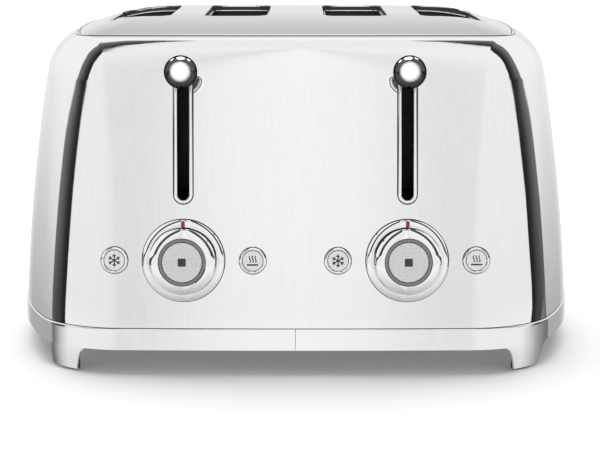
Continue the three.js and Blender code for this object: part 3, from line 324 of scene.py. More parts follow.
copper = noisy("wound_copper", (0.45, 0.2, 0.09), 0.35, 1.0, 1.0, stretch=(1, 1, 2600), rough=(0.25, 0.45),
               tint=((0.38, 0.16, 0.07), (0.55, 0.26, 0.12)))
red = noisy("red_mark", (0.32, 0.02, 0.015), 0.25, 0.0, 800.0, rough=(0.2, 0.3),
            tint=((0.28, 0.016, 0.012), (0.38, 0.03, 0.02)))
ink = noisy("dark_print", grey(0.03), 0.5, 0.0, 900.0, rough=(0.42, 0.58), tint=(0.025, 0.038))

SOLID_LOOKS = {
    "heater_board": mica, "control_board": board, "latch_magnet": copper, "foot_pad": rubber,
    # Chamber plates, lever carriages and racks are near-black: their heat tint, and painted shade for the
    # inside of the slots
    "cord_gland": dark_plastic, "return_spring": spring, "guide_rod": spring, "chamber_plate": heat_tint_and_painted_shade,
    "lever_carriage": heat_tint_and_painted_shade, "bread_rack": heat_tint_and_painted_shade,
}
for name, node in nodes.items():
    looks = [look for start, look in SOLID_LOOKS.items() if name.startswith(start)]
    node.data.materials.clear()
    node.data.materials.append(looks[0] if looks else galvanised)


# Mesh helpers
def finished(name, mesh, look, replaced=(), body="housing", sharp=35.0):
    """The mesh as a smooth piece that rides on its body. Edges turned past the sharp angle stay sharp."""
    mesh.name = name
    mesh.materials.clear()
    mesh.materials.append(look)
    mesh.shade_smooth()
    mesh.set_sharp_from_angle(angle=radians(sharp))
    piece = new_object(name, mesh)
    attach(piece, body)
    if replaced:
        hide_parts(*replaced)
    return piece


def mesh_of(points, faces):
    mesh = bpy.data.meshes.new("mesh")
    mesh.from_pydata(points, [], faces)
    mesh.validate()
    mesh.update()
    return mesh


def loft(rings, closed_loop=True, capped=False):
    """Faces between rings of the same count; closed_loop joins the last ring to the first."""
    count = len(rings[0])
    points = [p for ring in rings for p in ring]
    faces = []
    for k in range(len(rings) if closed_loop else len(rings) - 1):
        a, b = k * count, ((k + 1) % len(rings)) * count
        for i in range(count):
            j = (i + 1) % count
            faces.append((a + i, a + j, b + j, b + i))
    if capped:
        faces.append(tuple(range(count))[::-1])
        faces.append(tuple((len(rings) - 1) * count + i for i in range(count)))
    return points, faces


def outward(mesh):
    work = bmesh.new()
    work.from_mesh(mesh)
    bmesh.ops.recalc_face_normals(work, faces=work.faces)
    work.to_mesh(mesh)
    work.free()
    return mesh


def lofted(rings, closed_loop=True, capped=False):
    return outward(mesh_of(*loft(rings, closed_loop, capped)))


def capped_loft(rings):
    return lofted(rings, closed_loop=False, capped=True)


def boolean_cut(mesh, cutters):
    """The mesh with each cutter mesh taken away."""
    base = new_object("cut_base", mesh)
    tools = []
    for i, cutter in enumerate(cutters):
        tool = new_object(f"cut_tool_{i}", cutter)
        tools.append(tool)
        modifier = base.modifiers.new(f"cut_{i}", "BOOLEAN")
        modifier.operation = "DIFFERENCE"
        modifier.solver = "EXACT"
        modifier.object = tool
    bpy.context.view_layer.update()
    evaluated = base.evaluated_get(bpy.context.evaluated_depsgraph_get())
    result = bpy.data.meshes.new_from_object(evaluated)
    for tool in tools:
        bpy.data.objects.remove(tool)
    bpy.data.objects.remove(base)
    return result


# How far a point may lie from a surface and still take its exact normal
EDGE_SLACK, SKIN_SLACK, CROWN_SLACK, TRIM_SLACK = 0.02, 0.12, 0.15, 0.05
NEAR_CREASE = 3.0
FACE_AGREEMENT = 0.85


def skin_normal(co):
    """Normal of the outer skin at a point in metres, or None where the point isn't on it."""
    x, y, z = unplaced(co)
    if z < WALL_Z - EDGE_SLACK or z > CREASE_Z + EDGE_SLACK:
        return None
    inset = skin_inset(min(z, CREASE_Z))
    if abs(ring_distance(x, y, inset)[0]) > SKIN_SLACK:
        return None
    return surface_normal(x, y, inset, lean_at(min(z, CREASE_Z)))


def lid_normal(co):
    x, y, z = unplaced(co)
    inset = crown_inset(x, y)
    if inset < CREASE_INSET + NEAR_CREASE or abs(crown_height(x, y) - z) > CROWN_SLACK:
        return None
    if inset >= CROWN_END:
        return Vector((0, 0, 1))
    return surface_normal(x, y, inset, acos(min(1.0, (CROWN_END - inset) / CROWN_R)))


def set_normals(mesh, normal_at):
    """Exact normals where the function gives one that agrees with the face, else the mesh's own."""
    cache = {}
    own = [tuple(n.vector) for n in mesh.corner_normals]
    for polygon in mesh.polygons:
        for loop in polygon.loop_indices:
            v = mesh.loops[loop].vertex_index
            if v not in cache:
                cache[v] = normal_at(mesh.vertices[v].co)
            exact = cache[v]
            if exact is not None and exact.dot(polygon.normal) > FACE_AGREEMENT:
                own[loop] = tuple(exact)
    mesh.normals_split_custom_set(own)


def stadium(x, margin, steps=20, straight_steps=12):
    """Outline of a lever slot widened by a margin, as (x, z) points, anticlockwise from the right."""
    r = LEVER_SLOT_W / 2
    high, low = LEVER_SLOT_HIGH - r, LEVER_SLOT_LOW + r
    levels = [low + (high - low) * k / straight_steps for k in range(1, straight_steps)]
    return (arc_points(x, high, r + margin, 0.0, pi, steps)
            + [(x - r - margin, level) for level in levels[::-1]]
            + arc_points(x, low, r + margin, pi, 2 * pi, steps)
            + [(x + r + margin, level) for level in levels])


def control_frame(x, z=DIAL_Z):
    """Placement of a control: origin on the skin, local Z straight out, local Y up the wall."""
    inset = skin_inset(z)
    lean, yaw = lean_at(z), asin(x / (FRONT_R - inset))
    out = Vector((sin(yaw) * cos(lean), -cos(yaw) * cos(lean), sin(lean)))
    across = Vector((cos(yaw), sin(yaw), 0))
    up = out.cross(across)
    place = Vector(placed(x, -depth_at(x, inset), z))
    matrix = Matrix((across, up, out)).transposed().to_4x4()
    matrix.translation = place
    return matrix


def fillet(points, radii, steps=6):
    """Closed 2D polygon with its corners rounded."""
    out = []
    for i, (p, r) in enumerate(zip(points, radii)):
        if not r:
            out.append(p)
            continue
        a, b, c = Vector(points[i - 1]), Vector(p), Vector(points[(i + 1) % len(points)])
        u, v = (a - b).normalized(), (c - b).normalized()
        half = u.angle(v) / 2
        cut = r / tan(half)
        centre = b + (u + v).normalized() * (r / sin(half))
        start, end = b + u * cut - centre, b + v * cut - centre
        turn = atan2(start.x * end.y - start.y * end.x, start.dot(end))
        for k in range(steps + 1):
            s = turn * k / steps
            out.append((centre.x + start.x * cos(s) - start.y * sin(s),
                        centre.y + start.x * sin(s) + start.y * cos(s)))
    return out


def turned_mesh(profile, sides, matrix):
    """A closed profile of (radius, height) turned about local Z. Points on the axis become one vertex."""
    points, faces, index = [], [], []
    for r, h in profile:
        ring = arc_points(0, 0, r, 0, 2 * pi, sides)[:-1] if r else [(0, 0)]
        index.append([len(points) + i % len(ring) for i in range(sides)])
        points += [tuple(matrix @ Vector((x * MM, y * MM, h * MM))) for x, y in ring]
    for low, high in zip(index, index[1:] + index[:1]):
        for i in range(sides):
            face = tuple(dict.fromkeys((low[i], low[(i + 1) % sides], high[(i + 1) % sides], high[i])))
            if len(face) > 2:
                faces.append(face)
    return outward(mesh_of(points, faces))


def joined_mesh(meshes):
    """Several meshes as one."""
    points, faces = [], []
    for mesh in meshes:
        base = len(points)
        points += [tuple(v.co) for v in mesh.vertices]
        faces += [tuple(base + v for v in p.vertices) for p in mesh.polygons]
    return mesh_of(points, faces)


def prism(shape, low, high, matrix):
    """A flat outline of (x, y) in millimetres raised from low to high along local Z."""
    rings = [[tuple(matrix @ Vector((x * MM, y * MM, h * MM))) for x, y in shape] for h in (low, high)]
    return capped_loft(rings)


def tube(points, radius, sides=10, closed=False, steep=0.95):
    """A round wire along points, in millimetres before the shift."""
    rings = []
    count = len(points)
    section = arc_points(0, 0, radius, 0, 2 * pi, sides)[:-1]
    up = Vector((0, 0, 1))
    for i in range(count):
        if closed:
            a, b = points[i - 1], points[(i + 1) % count]
        else:
            a, b = points[max(i - 1, 0)], points[min(i + 1, count - 1)]
        along = (Vector(b) - Vector(a)).normalized()
        across = along.cross(up if abs(along.z) < steep else Vector((1, 0, 0))).normalized()
        other = across.cross(along)
        rings.append([placed(*(Vector(points[i]) + across * u + other * v)) for u, v in section])
    return lofted(rings, closed_loop=closed, capped=not closed)


# Steel wall
WALL_STEPS, SHOULDER_STEPS, INNER_WALL_STEPS, INNER_SHOULDER_STEPS = 22, 20, 8, 10
FOOT_TURN, FOOT_EDGE, FIRST_WALL_STEP = 0.35, 0.1, 0.15
LEVER_HOLE_MARGIN, DIAL_HOLE_R, BUTTON_HOLE_R, HOLE_DEPTH = 1.3, 24.3, 8.0, 8.0
LEVER_TOOL_YS = (-HALF_D - 20, -100.0)
body_loop = outline(side_steps=10, corner_steps=22, front_steps=12)


def body_rings(profile):
    """Rings round the body through the (inset, height) points of a profile."""
    return [[placed(*moved_in(p, inset), z) for p in body_loop] for inset, z in profile]


def wall_mesh():
    foot_inset, foot_z = wall(0.0)
    profile = [wall(0.0, FOOT_TURN), (foot_inset + FOOT_EDGE, foot_z)]
    profile += [wall((i + FIRST_WALL_STEP) / WALL_STEPS) for i in range(WALL_STEPS)]
    profile += [shoulder(i / SHOULDER_STEPS) for i in range(SHOULDER_STEPS)] + [shoulder(1.0)]
    profile += [shoulder(1.0 - i / INNER_SHOULDER_STEPS, SHEET) for i in range(INNER_SHOULDER_STEPS)]
    profile += [wall(1.0 - i / INNER_WALL_STEPS, SHEET) for i in range(INNER_WALL_STEPS + 1)]
    mesh = lofted(body_rings(profile))
    cutters = []
    for side, x in LEVER_XS.items():
        rings = [[placed(px, y, pz) for px, pz in stadium(x, LEVER_HOLE_MARGIN)] for y in LEVER_TOOL_YS]
        cutters.append(capped_loft(rings))
        for dx, radius in ((0.0, DIAL_HOLE_R), (-BUTTON_DX, BUTTON_HOLE_R), (BUTTON_DX, BUTTON_HOLE_R)):
            profile = [(0, -HOLE_DEPTH), (radius, -HOLE_DEPTH), (radius, HOLE_DEPTH), (0, HOLE_DEPTH)]
            cutters.append(turned_mesh(profile, BUTTON_SIDES, control_frame(x + dx)))
    return boolean_cut(mesh, cutters)


shell = finished("shell_wall", wall_mesh(), steel, ["body_shell"])
set_normals(shell.data, skin_normal)


# Lid
def slot_loop(x, margin, steps=8, longest=6.0):
    """Rounded outline of a bread slot, widened by a margin."""
    r = SLOT_CORNER + margin
    dx, dy = SLOT_W / 2 + margin - r, SLOT_L / 2 + margin - r
    points = []
    for k, (sx, sy) in enumerate(((1, -1), (1, 1), (-1, 1), (-1, -1))):
        points += arc_points(x + sx * dx, SLOT_Y + sy * dy, r, QUARTER * (k - 1), QUARTER * k, steps)
    dense = []
    for i, p in enumerate(points):
        q = points[(i + 1) % len(points)]
        parts = max(1, int(hypot(q[0] - p[0], q[1] - p[1]) // longest))
        dense += [(p[0] + (q[0] - p[0]) * k / parts, p[1] + (q[1] - p[1]) * k / parts) for k in range(parts)]
    return dense


LIP_ROUND, LIP_SHEET, LIP_DROP, LIP_EDGE, LIP_TUCK, LIP_STEPS = 1.6, 1.0, 10.0, 0.3, 0.6, 8
# Rim, bead and groove follow one another up the crown; the rim tucks in under the wall's sheet
RIM, BEAD, GROOVE, BEAD_HIGH, GROOVE_DEEP, BEAD_STEPS = 0.8, 1.5, 0.7, 0.5, 0.4, 8
GROOVE_SHARES = (0.3, 0.7)
TUCK_FROM, TUCK, RIM_TUCK = 0.82, 1.3, 1.2
CROWN_STEPS, FIRST_CROWN_STEP, UNDER_STEPS = 24, 0.4, 10
CORE_INSETS = (104.0, 117.0, 130.0)
LID_TOOL_LOW, LID_TOOL_HIGH = 30.0, 20.0


def lid_mesh():
    crown_length = CROWN_R * (QUARTER - CREASE)
    rim, bead, groove = (width / crown_length for width in (RIM, BEAD, GROOVE))
    profile = [shoulder(TUCK_FROM, TUCK), shoulder(1.0, TUCK), crown(rim, RIM_TUCK)]
    for i in range(BEAD_STEPS + 1):
        a = pi * i / BEAD_STEPS
        profile.append(crown(rim + bead * (1 - cos(a)) / 2, -BEAD_HIGH * sin(a)))
    profile += [crown(rim + bead + groove * share, GROOVE_DEEP) for share in GROOVE_SHARES]
    bare = rim + bead + groove
    profile.append(crown(bare))
    profile += [crown(bare + (1 - bare) * (i + FIRST_CROWN_STEP) / CROWN_STEPS) for i in range(CROWN_STEPS)]
    profile.append(crown(1.0))
    under = [crown(1 - i / UNDER_STEPS, SHEET) for i in range(UNDER_STEPS)]
    under += [crown(bare, TUCK + SHEET), shoulder(1.0, TUCK + SHEET), shoulder(TUCK_FROM, TUCK + SHEET)]
    core = [(inset, CREST_Z) for inset in CORE_INSETS]
    low_core = [(inset, CREST_Z - SHEET) for inset in CORE_INSETS[::-1]]
    mesh = capped_loft(body_rings(low_core + under + profile + core))
    low, high = CREST_Z - LID_TOOL_LOW, CREST_Z + LID_TOOL_HIGH
    return boolean_cut(mesh, [prism(slot_loop(x, LIP_ROUND), low, high, shift) for x in SLOT_XS])


def lip_mesh(x):
    """Turned-down edge of a bread slot, meeting the lid smoothly."""
    rings = []
    edge = slot_loop(x, LIP_ROUND)
    bare = slot_loop(x, 0.0)
    heights = [crown_height(px, py) for px, py in edge]
    for k in range(LIP_STEPS + 1):
        a = QUARTER * k / LIP_STEPS
        share = sin(a)
        rings.append([placed(p[0] + (q[0] - p[0]) * share, p[1] + (q[1] - p[1]) * share,
                             h - LIP_ROUND * (1 - cos(a)))
                      for p, q, h in zip(edge, bare, heights)])
    low = CREST_Z - LIP_DROP
    rings.append([placed(*q, low + LIP_EDGE) for q in bare])
    outer = slot_loop(x, LIP_SHEET)
    rings.append([placed((q[0] + o[0]) / 2, (q[1] + o[1]) / 2, low) for q, o in zip(bare, outer)])
    rings.append([placed(*o, low + LIP_EDGE) for o in outer])
    rings.append([placed(*o, h - LIP_ROUND - LIP_TUCK) for o, h in zip(outer, heights)])
    rings.append([placed(*p, h - SHEET) for p, h in zip(edge, heights)])
    return lofted(rings)


def slot_wire_mesh(x, radius=0.8, margin=-0.85, drop=4.2):
    """Bright wire running round a slot just inside its lip."""
    points = [(px, py, crown_height(px, py) - drop) for px, py in slot_loop(x, margin)]
    return tube(points, radius, closed=True)


# The lid's faces beside the wall and in the groove past its bead take the near-black plastic: painted shade
# in the seam and the groove
PAINTED_SHADE_REACH = 2.5
PAINTED_SHADE_STRETCHES = ((-0.3, 0.76), (2.08, 2.76))
UPRIGHT = 0.45
lid = finished("lid", lid_mesh(), steel, ["top_cover"], sharp=40)
lid.data.materials.append(dark_plastic)
for polygon in lid.data.polygons:
    x, y, z = unplaced(polygon.center)
    if abs(z - CREASE_Z) < PAINTED_SHADE_REACH:
        beyond = crown_inset(x, y) - CREASE_INSET
        if any(low < beyond < high for low, high in PAINTED_SHADE_STRETCHES):
            polygon.material_index = 1
set_normals(lid.data, lid_normal)
for number, x in enumerate(SLOT_XS, 1):
    lip = finished(f"slot_lip_{number}", lip_mesh(x), steel, sharp=50)
    # The lip's upright faces take the near-black steel: painted shade down inside the slot
    lip.data.materials.append(heat_tint_and_painted_shade)
    for polygon in lip.data.polygons:
        if abs(polygon.normal.z) < UPRIGHT:
            polygon.material_index = 1
    set_normals(lip.data, lid_normal)


# Base trim
SEAM_Z, BAND_Z, LEG_Z = 31.2, 16.7, 1.2
LEG_HALF, LEG_FILLET, LEG_POWER = 12.4, 9.0, 2.6
LEG_LEAN, LEG_LEAN_POWER = 2.6, 1.3
LEG_ANGLE = radians(47.7)
TRIM = 3.0
LEG_STEPS, LEG_CROWDING, LEG_FACE_STEPS, BAND_STEPS, INNER_BAND_STEPS = 14, 1.7, 4, 12, 6
# Depth and lift of the rings that round the lower edge off
FOOT_RINGS = ((0.55, 0.0), (0.18, 0.12), (0.0, 0.5))
BAND_FROM, BAND_SHARE = 0.06, 0.86
TOP_ROUND, TOP_STEPS = 0.8, 4
SEAM_HALF, OVERRUN = 0.15, 10
TRAY_XS, TRAY_HALF, TRAY_LOW, TRAY_HIGH = (-74.05, 74.05), 51.6, 19.2, 28.1


def low_edge(p):
    if p[0] != 1:
        return BAND_Z
    along = abs(SIDE_ANGLE + (FRONT_ANGLE - SIDE_ANGLE) * p[1] - LEG_ANGLE) * CORNER_R
    if along <= LEG_HALF:
        return LEG_Z
    share = min((along - LEG_HALF) / LEG_FILLET, 1.0)
    return LEG_Z + (BAND_Z - LEG_Z) * (1 - (1 - share) ** LEG_POWER)


def trim_inset(z):
    return LEG_LEAN * (max(BAND_Z - z, 0.0) / (BAND_Z - LEG_Z)) ** LEG_LEAN_POWER


def trim_mesh(side):
    extra = set()
    for k in range(LEG_STEPS + 1):
        along = LEG_HALF + LEG_FILLET * (k / LEG_STEPS) ** LEG_CROWDING
        extra |= {LEG_ANGLE - along / CORNER_R, LEG_ANGLE + along / CORNER_R}
    face_steps = range(-LEG_FACE_STEPS, LEG_FACE_STEPS + 1)
    extra |= {LEG_ANGLE + LEG_HALF / CORNER_R * k / LEG_FACE_STEPS for k in face_steps}
    extra = {(a - SIDE_ANGLE) / (FRONT_ANGLE - SIDE_ANGLE) for a in extra if SIDE_ANGLE < a < FRONT_ANGLE}
    loop = outline(side_steps=10, corner_steps=16, front_steps=12, extra=extra)

    def ring(share, depth, lift=0.0):
        out = []
        for p in loop:
            low = low_edge(p)
            z = low + (SEAM_Z - low) * share + lift
            out.append(placed(*moved_in(p, trim_inset(z) + depth), z))
        return out

    rings = [ring(0.0, depth, lift) for depth, lift in FOOT_RINGS]
    rings += [ring(BAND_FROM + BAND_SHARE * k / BAND_STEPS, 0.0) for k in range(BAND_STEPS + 1)]
    for k in range(TOP_STEPS + 1):
        a = QUARTER * k / TOP_STEPS
        rings.append(ring(1.0, TOP_ROUND * (1 - cos(a)), -TOP_ROUND * (1 - sin(a))))
    rings += [ring(1.0 - k / INNER_BAND_STEPS, TRIM) for k in range(INNER_BAND_STEPS + 1)]
    low_x, high_x = (-HALF_W - OVERRUN, SEAM_HALF) if side == "right" else (-SEAM_HALF, HALF_W + OVERRUN)
    back = HALF_D + OVERRUN
    boxes = [((low_x, -back, -OVERRUN), (high_x, back, SEAM_Z + OVERRUN))]
    boxes += [((x - TRAY_HALF, 0, TRAY_LOW), (x + TRAY_HALF, back, TRAY_HIGH)) for x in TRAY_XS]
    cutters = []
    for low, high in boxes:
        shape = [(low[0], low[1]), (high[0], low[1]), (high[0], high[1]), (low[0], high[1])]
        cutters.append(prism(shape, low[2], high[2], shift))
    return boolean_cut(lofted(rings), cutters)


def trim_normal(co):
    x, y, z = unplaced(co)
    d, _, angle = ring_distance(x, y, trim_inset(z))
    if z > SEAM_Z - TOP_ROUND - TRIM_SLACK or abs(d) > TRIM_SLACK:
        return None
    share = max(BAND_Z - z, 0.0) / (BAND_Z - LEG_Z)
    slope = LEG_LEAN * LEG_LEAN_POWER * share ** (LEG_LEAN_POWER - 1) / (BAND_Z - LEG_Z)
    flat = (copysign(cos(angle), x), copysign(sin(angle), y))
    return Vector((*flat, -slope)).normalized()


for side in SIDES:
    trim = finished(f"base_band_{side}", trim_mesh(side), cast, [f"base_trim_{side}"], sharp=40)
    set_normals(trim.data, trim_normal)


# Lever slot frames
BEZEL_SECTION = [(0.0, -3.0), (0.0, 0.55), (0.12, 0.95), (0.4, 1.28), (0.8, 1.46), (1.3, 1.5), (1.75, 1.36),
                 (2.15, 1.02), (2.4, 0.6), (2.5, 0.06), (1.0, 0.06), (1.0, -3.0)]
# The dark ring round each lever frame is painted shade: it stands in for the shadow gap where the frame meets
# the wall
SHADOW_GAP_SECTION = [(2.52, 0.05), (2.52, 0.5), (2.8, 0.5), (3.02, 0.35), (3.02, 0.05)]


def lever_frame_mesh(x, section):
    rings = []
    for margin, proud in section:
        ring = []
        for px, pz in stadium(x, margin):
            z = min(pz, CREASE_Z)
            ring.append(placed(px, -depth_at(px, skin_inset(z)) - proud, pz))
        rings.append(ring)
    return lofted(rings)


for side, x in LEVER_XS.items():
    finished(f"lever_frame_{side}", lever_frame_mesh(x, BEZEL_SECTION), chrome,
             [f"lever_bezel_{side}"], sharp=45)
    finished(f"lever_shadow_gap_{side}", lever_frame_mesh(x, SHADOW_GAP_SECTION), dark_plastic,
             sharp=45)

# Ball knobs
BALL_R, BALL_Z, BORE_R, BORE_DEPTH, BALL_STEPS = 10.65, 199.3, 2.8, 8.0, 48
knob_lit = bpy.data.collections.new("knob_lit")
knob_shade = bpy.data.collections.new("knob_shade")
knob_shade.objects.link(shell)
knob_shade.objects.link(lid)
for side, x in LEVER_XS.items():
    end = asin(BORE_R / BALL_R) - QUARTER
    profile = [(0.0, BALL_R)] + arc_points(0.0, 0.0, BALL_R, QUARTER, end, BALL_STEPS)[1:]
    profile += [(BORE_R, -BALL_R + BORE_DEPTH), (0.0, -BALL_R + BORE_DEPTH)]
    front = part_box(f"lever_ball_{side}")[0].y
    place = Vector((x * MM, front + BALL_R * MM, BALL_Z * MM))
    matrix = Matrix.Translation(place) @ Matrix.Rotation(QUARTER, 4, "X")
    ball = finished(f"ball_{side}", turned_mesh(profile, BALL_SIDES, matrix), knob,
                    [f"lever_ball_{side}"], f"lever_{side}", sharp=40)
    knob_lit.objects.link(ball)
    knob_shade.objects.link(ball)


# Dials, stop buttons and small buttons
def arc_profile(r_low, r_high, height, slope_low, slope_high, steps):
    """Crowned part of a turned profile, whose slope grows evenly in sine from one radius to the other."""
    low, high = sin(radians(slope_low)), sin(radians(slope_high))
    bend = (r_high - r_low) / (high - low)
    out = []
    for i in range(steps + 1):
        sine = low + (high - low) * i / steps
        drop = bend * (sqrt(1 - low ** 2) - sqrt(1 - sine ** 2))
        out.append((r_low + bend * (sine - low), height - drop))
    return out


BEZEL = [(21.7, 0.0), (22.2, 0.0), (22.2, -6.0), (23.7, -6.0), (23.7, 0.3), (26.7, 0.3)]
BEZEL += arc_profile(23.5, 26.7, 4.3, 18, 52, 12)[::-1]
BEZEL += [(23.3, 4.1), (23.0, 3.75), (22.6, 3.7), (21.95, 3.3), (21.7, 2.8)]
DIAL = [(15.5, -5.0), (22.3, -5.0), (22.3, -2.0), (21.4, -2.0)]
DIAL += arc_profile(15.8, 21.4, 14.0, 13, 50, 16)[::-1]
DIAL += [(15.5, 13.85)]
STOP_TOP, BUTTON_TOP = 13.8, 1.6
SLEEVE = [(13.1, -14.95), (15.2, -14.95), (15.2, 13.4), (14.2, 13.75), (13.1, 13.0)]
SLEEVE_ROUND = [0, 0, 0.25, 0.6, 0.25]
STOP = [(0, -9.95), (5.0, -9.95), (5.0, 5.8), (12.8, 5.8), (12.8, STOP_TOP), (0, STOP_TOP)]
STOP_ROUND = [0, 0, 0, 0, 0.6, 0]
RING = [(6.9, -5.0), (7.7, -5.0), (7.7, 0.3), (8.65, 0.3), (8.65, 1.3), (7.6, 2.0), (6.9, 1.3)]
RING_ROUND = [0, 0, 0, 0, 0.35, 0.45, 0.2]
BUTTON = [(0, -10.2), (2.6, -10.2), (2.6, -4.4), (6.6, -4.4), (6.6, BUTTON_TOP), (0, BUTTON_TOP)]
BUTTON_ROUND = [0, 0, 0, 0, 0.45, 0]


def capsule(width, length, steps=10):
    """Upright capsule outline."""
    r = width / 2
    return (arc_points(0, length / 2 - r, r, 0.0, pi, steps)
            + arc_points(0, r - length / 2, r, pi, 2 * pi, steps))


def stroke(points, width):
    """Outline of a line of constant width through points."""
    left, right = [], []
    for i, p in enumerate(points):
        a, b = Vector(points[max(i - 1, 0)]), Vector(points[min(i + 1, len(points) - 1)])
        along = (b - a).normalized()
        side = Vector((-along.y, along.x)) * width / 2
        left.append((p[0] + side.x, p[1] + side.y))
        right.append((p[0] - side.x, p[1] - side.y))
    return left + right[::-1]


def snowflake(size, width, fork_share=0.58, twig_share=0.34, twig_turn=0.9):
    """Six plain arms, each with one pair of twigs."""
    shapes = []
    for k in range(6):
        a = QUARTER + pi * k / 3
        tip = (size * cos(a), size * sin(a))
        shapes.append(stroke([(0.0, 0.0), tip], width))
        fork = (tip[0] * fork_share, tip[1] * fork_share)
        twig = size * twig_share
        for turn in (-twig_turn, twig_turn):
            end = (fork[0] + twig * cos(a + turn), fork[1] + twig * sin(a + turn))
            shapes.append(stroke([fork, end], width))
    return shapes


def heat_waves(size, width, bar=0.72, bar_width=1.5, apart=0.5, swing=0.1, low=0.32, rise=1.2, steps=12):
    """Three rising waves over a level bar, in shares of the size."""
    shapes = [stroke([(-size, -size * bar), (size, -size * bar)], width * bar_width)]
    shares = [i / steps for i in range(steps + 1)]
    for k in (-1, 0, 1):
        points = [(size * (k * apart + swing * sin(2 * pi * share)), size * (rise * share - low))
                  for share in shares]
        shapes.append(stroke(points, width))
    return shapes


def print_mesh(shapes, height, matrix, sink=0.05, proud=0.03):
    return joined_mesh([prism(shape, height - sink, height + proud, matrix) for shape in shapes])


# A dark ring round a bezel: painted shade for the shadow gap where the bezel meets the wall
def shadow_gap_profile(radius, width, low=0.05, edge=0.4, high=0.55, taper=0.6):
    outer = radius + width
    return [(radius, low), (outer, low), (outer, edge), (radius + width * taper, high), (radius, high)]


DIAL_SHADOW_GAP = shadow_gap_profile(26.75, 0.5)
BUTTON_SHADOW_GAP = shadow_gap_profile(8.7, 0.4)
SQUARE_HALF, SQUARE_ROUND = 2.6, 0.5
SQUARE = fillet([(-SQUARE_HALF, -SQUARE_HALF), (SQUARE_HALF, -SQUARE_HALF), (SQUARE_HALF, SQUARE_HALF),
                 (-SQUARE_HALF, SQUARE_HALF)], [SQUARE_ROUND] * 4)
INDEX_R, INDEX_Z, INDEX_LEAN, INDEX_W, INDEX_L, INDEX_LOW, INDEX_HIGH = 23.9, 3.85, -8, 2.5, 4.3, -0.6, 0.65
BUTTONS = (("defrost", -BUTTON_DX, snowflake(4.2, 0.75)), ("reheat", BUTTON_DX, heat_waves(3.7, 0.7)))

for side, x in LEVER_XS.items():
    at = control_frame(x)
    finished(f"dial_ring_{side}", turned_mesh(BEZEL, DIAL_SIDES, at), chrome,
             [f"dial_bezel_{side}"], sharp=30)
    finished(f"dial_shadow_gap_{side}", turned_mesh(DIAL_SHADOW_GAP, DIAL_SIDES, at), dark_plastic)
    finished(f"dial_{side}", turned_mesh(DIAL, DIAL_SIDES, at), chrome,
             [f"browning_dial_{side}"], f"dial_{side}")
    finished(f"stop_ring_{side}", turned_mesh(fillet(SLEEVE, SLEEVE_ROUND), STOP_SIDES, at),
             ring_grey, [f"stop_sleeve_{side}"])
    finished(f"stop_face_{side}", turned_mesh(fillet(STOP, STOP_ROUND), STOP_SIDES, at), satin,
             [f"stop_button_{side}"], f"stop_{side}")
    finished(f"stop_mark_{side}", print_mesh([SQUARE], STOP_TOP, at), ink,
             body=f"stop_{side}")
    place = Matrix.Translation((0, INDEX_R * MM, INDEX_Z * MM))
    mark = at @ place @ Matrix.Rotation(radians(INDEX_LEAN), 4, "X")
    mark_mesh = prism(capsule(INDEX_W, INDEX_L), INDEX_LOW, INDEX_HIGH, mark)
    finished(f"index_mark_{side}", mark_mesh, red)
    for kind, dx, shapes in BUTTONS:
        here = control_frame(x + dx)
        finished(f"{kind}_ring_{side}", turned_mesh(fillet(RING, RING_ROUND), BUTTON_SIDES, here),
                 chrome, [f"{kind}_bezel_{side}"])
        finished(f"{kind}_shadow_gap_{side}", turned_mesh(BUTTON_SHADOW_GAP, BUTTON_SIDES, here),
                 dark_plastic)
        finished(f"{kind}_face_{side}", turned_mesh(fillet(BUTTON, BUTTON_ROUND), BUTTON_SIDES, here),
                 pearl, [f"{kind}_button_{side}"], f"{kind}_{side}")
        finished(f"{kind}_mark_{side}", print_mesh(shapes, BUTTON_TOP, here), ink,
                 body=f"{kind}_{side}")

for number, x in enumerate(SLOT_XS, 1):
    finished(f"slot_wire_{number}", slot_wire_mesh(x), wire, sharp=60)

# Bread guards in round wire
GUARD_LOW, GUARD_HIGH, GUARD_FRONT, GUARD_BACK = 39.2, 208.5, -77.5, 65.9
GUARD_LONG = GUARD_BACK - GUARD_FRONT
GUARD_INNER, WIRE_R, BAR_R, GUARD_CORNER, UPRIGHTS, CROSS_SHARES = 18.5, 0.95, 0.8075, 6, 8, (0.22, 0.78)
guard_loop = fillet([(GUARD_FRONT, GUARD_LOW), (GUARD_BACK, GUARD_LOW), (GUARD_BACK, GUARD_HIGH),
                     (GUARD_FRONT, GUARD_HIGH)], [GUARD_CORNER] * 4, steps=5)
for number, x in enumerate(SLOT_XS, 1):
    wires = []
    for gx in (x - GUARD_INNER, x + GUARD_INNER):
        wires.append(tube([(gx, y, z) for y, z in guard_loop], WIRE_R, closed=True))
        for k in range(1, UPRIGHTS):
            y = GUARD_FRONT + GUARD_LONG * k / UPRIGHTS
            wires.append(tube([(gx, y, GUARD_LOW), (gx, y, GUARD_HIGH)], BAR_R))
    for share in CROSS_SHARES:
        y = GUARD_FRONT + GUARD_LONG * share
        wires.append(tube([(x - GUARD_INNER, y, GUARD_LOW), (x + GUARD_INNER, y, GUARD_LOW)], WIRE_R))
    finished(f"guard_wires_{number}", joined_mesh(wires), wire, [f"bread_guard_{number}"],
             sharp=40)

# Heating ribbons round the mica boards
RIBBON_HALF_W, RIBBON_HALF_T, RIBBON_SHEET, RIBBON_END, RIBBON_TURNS = 0.8, 0.95, 0.2, 15, 8
RIBBON_LOW, RIBBON_HIGH = 47.6, 194.1


def ribbon_loop(x, inset):
    """Section round a board, as (x, z) points."""
    half, low, high = RIBBON_HALF_T - inset, RIBBON_LOW + inset, RIBBON_HIGH - inset
    return [(x - half, low), (x + half, low), (x + half, high), (x - half, high)]


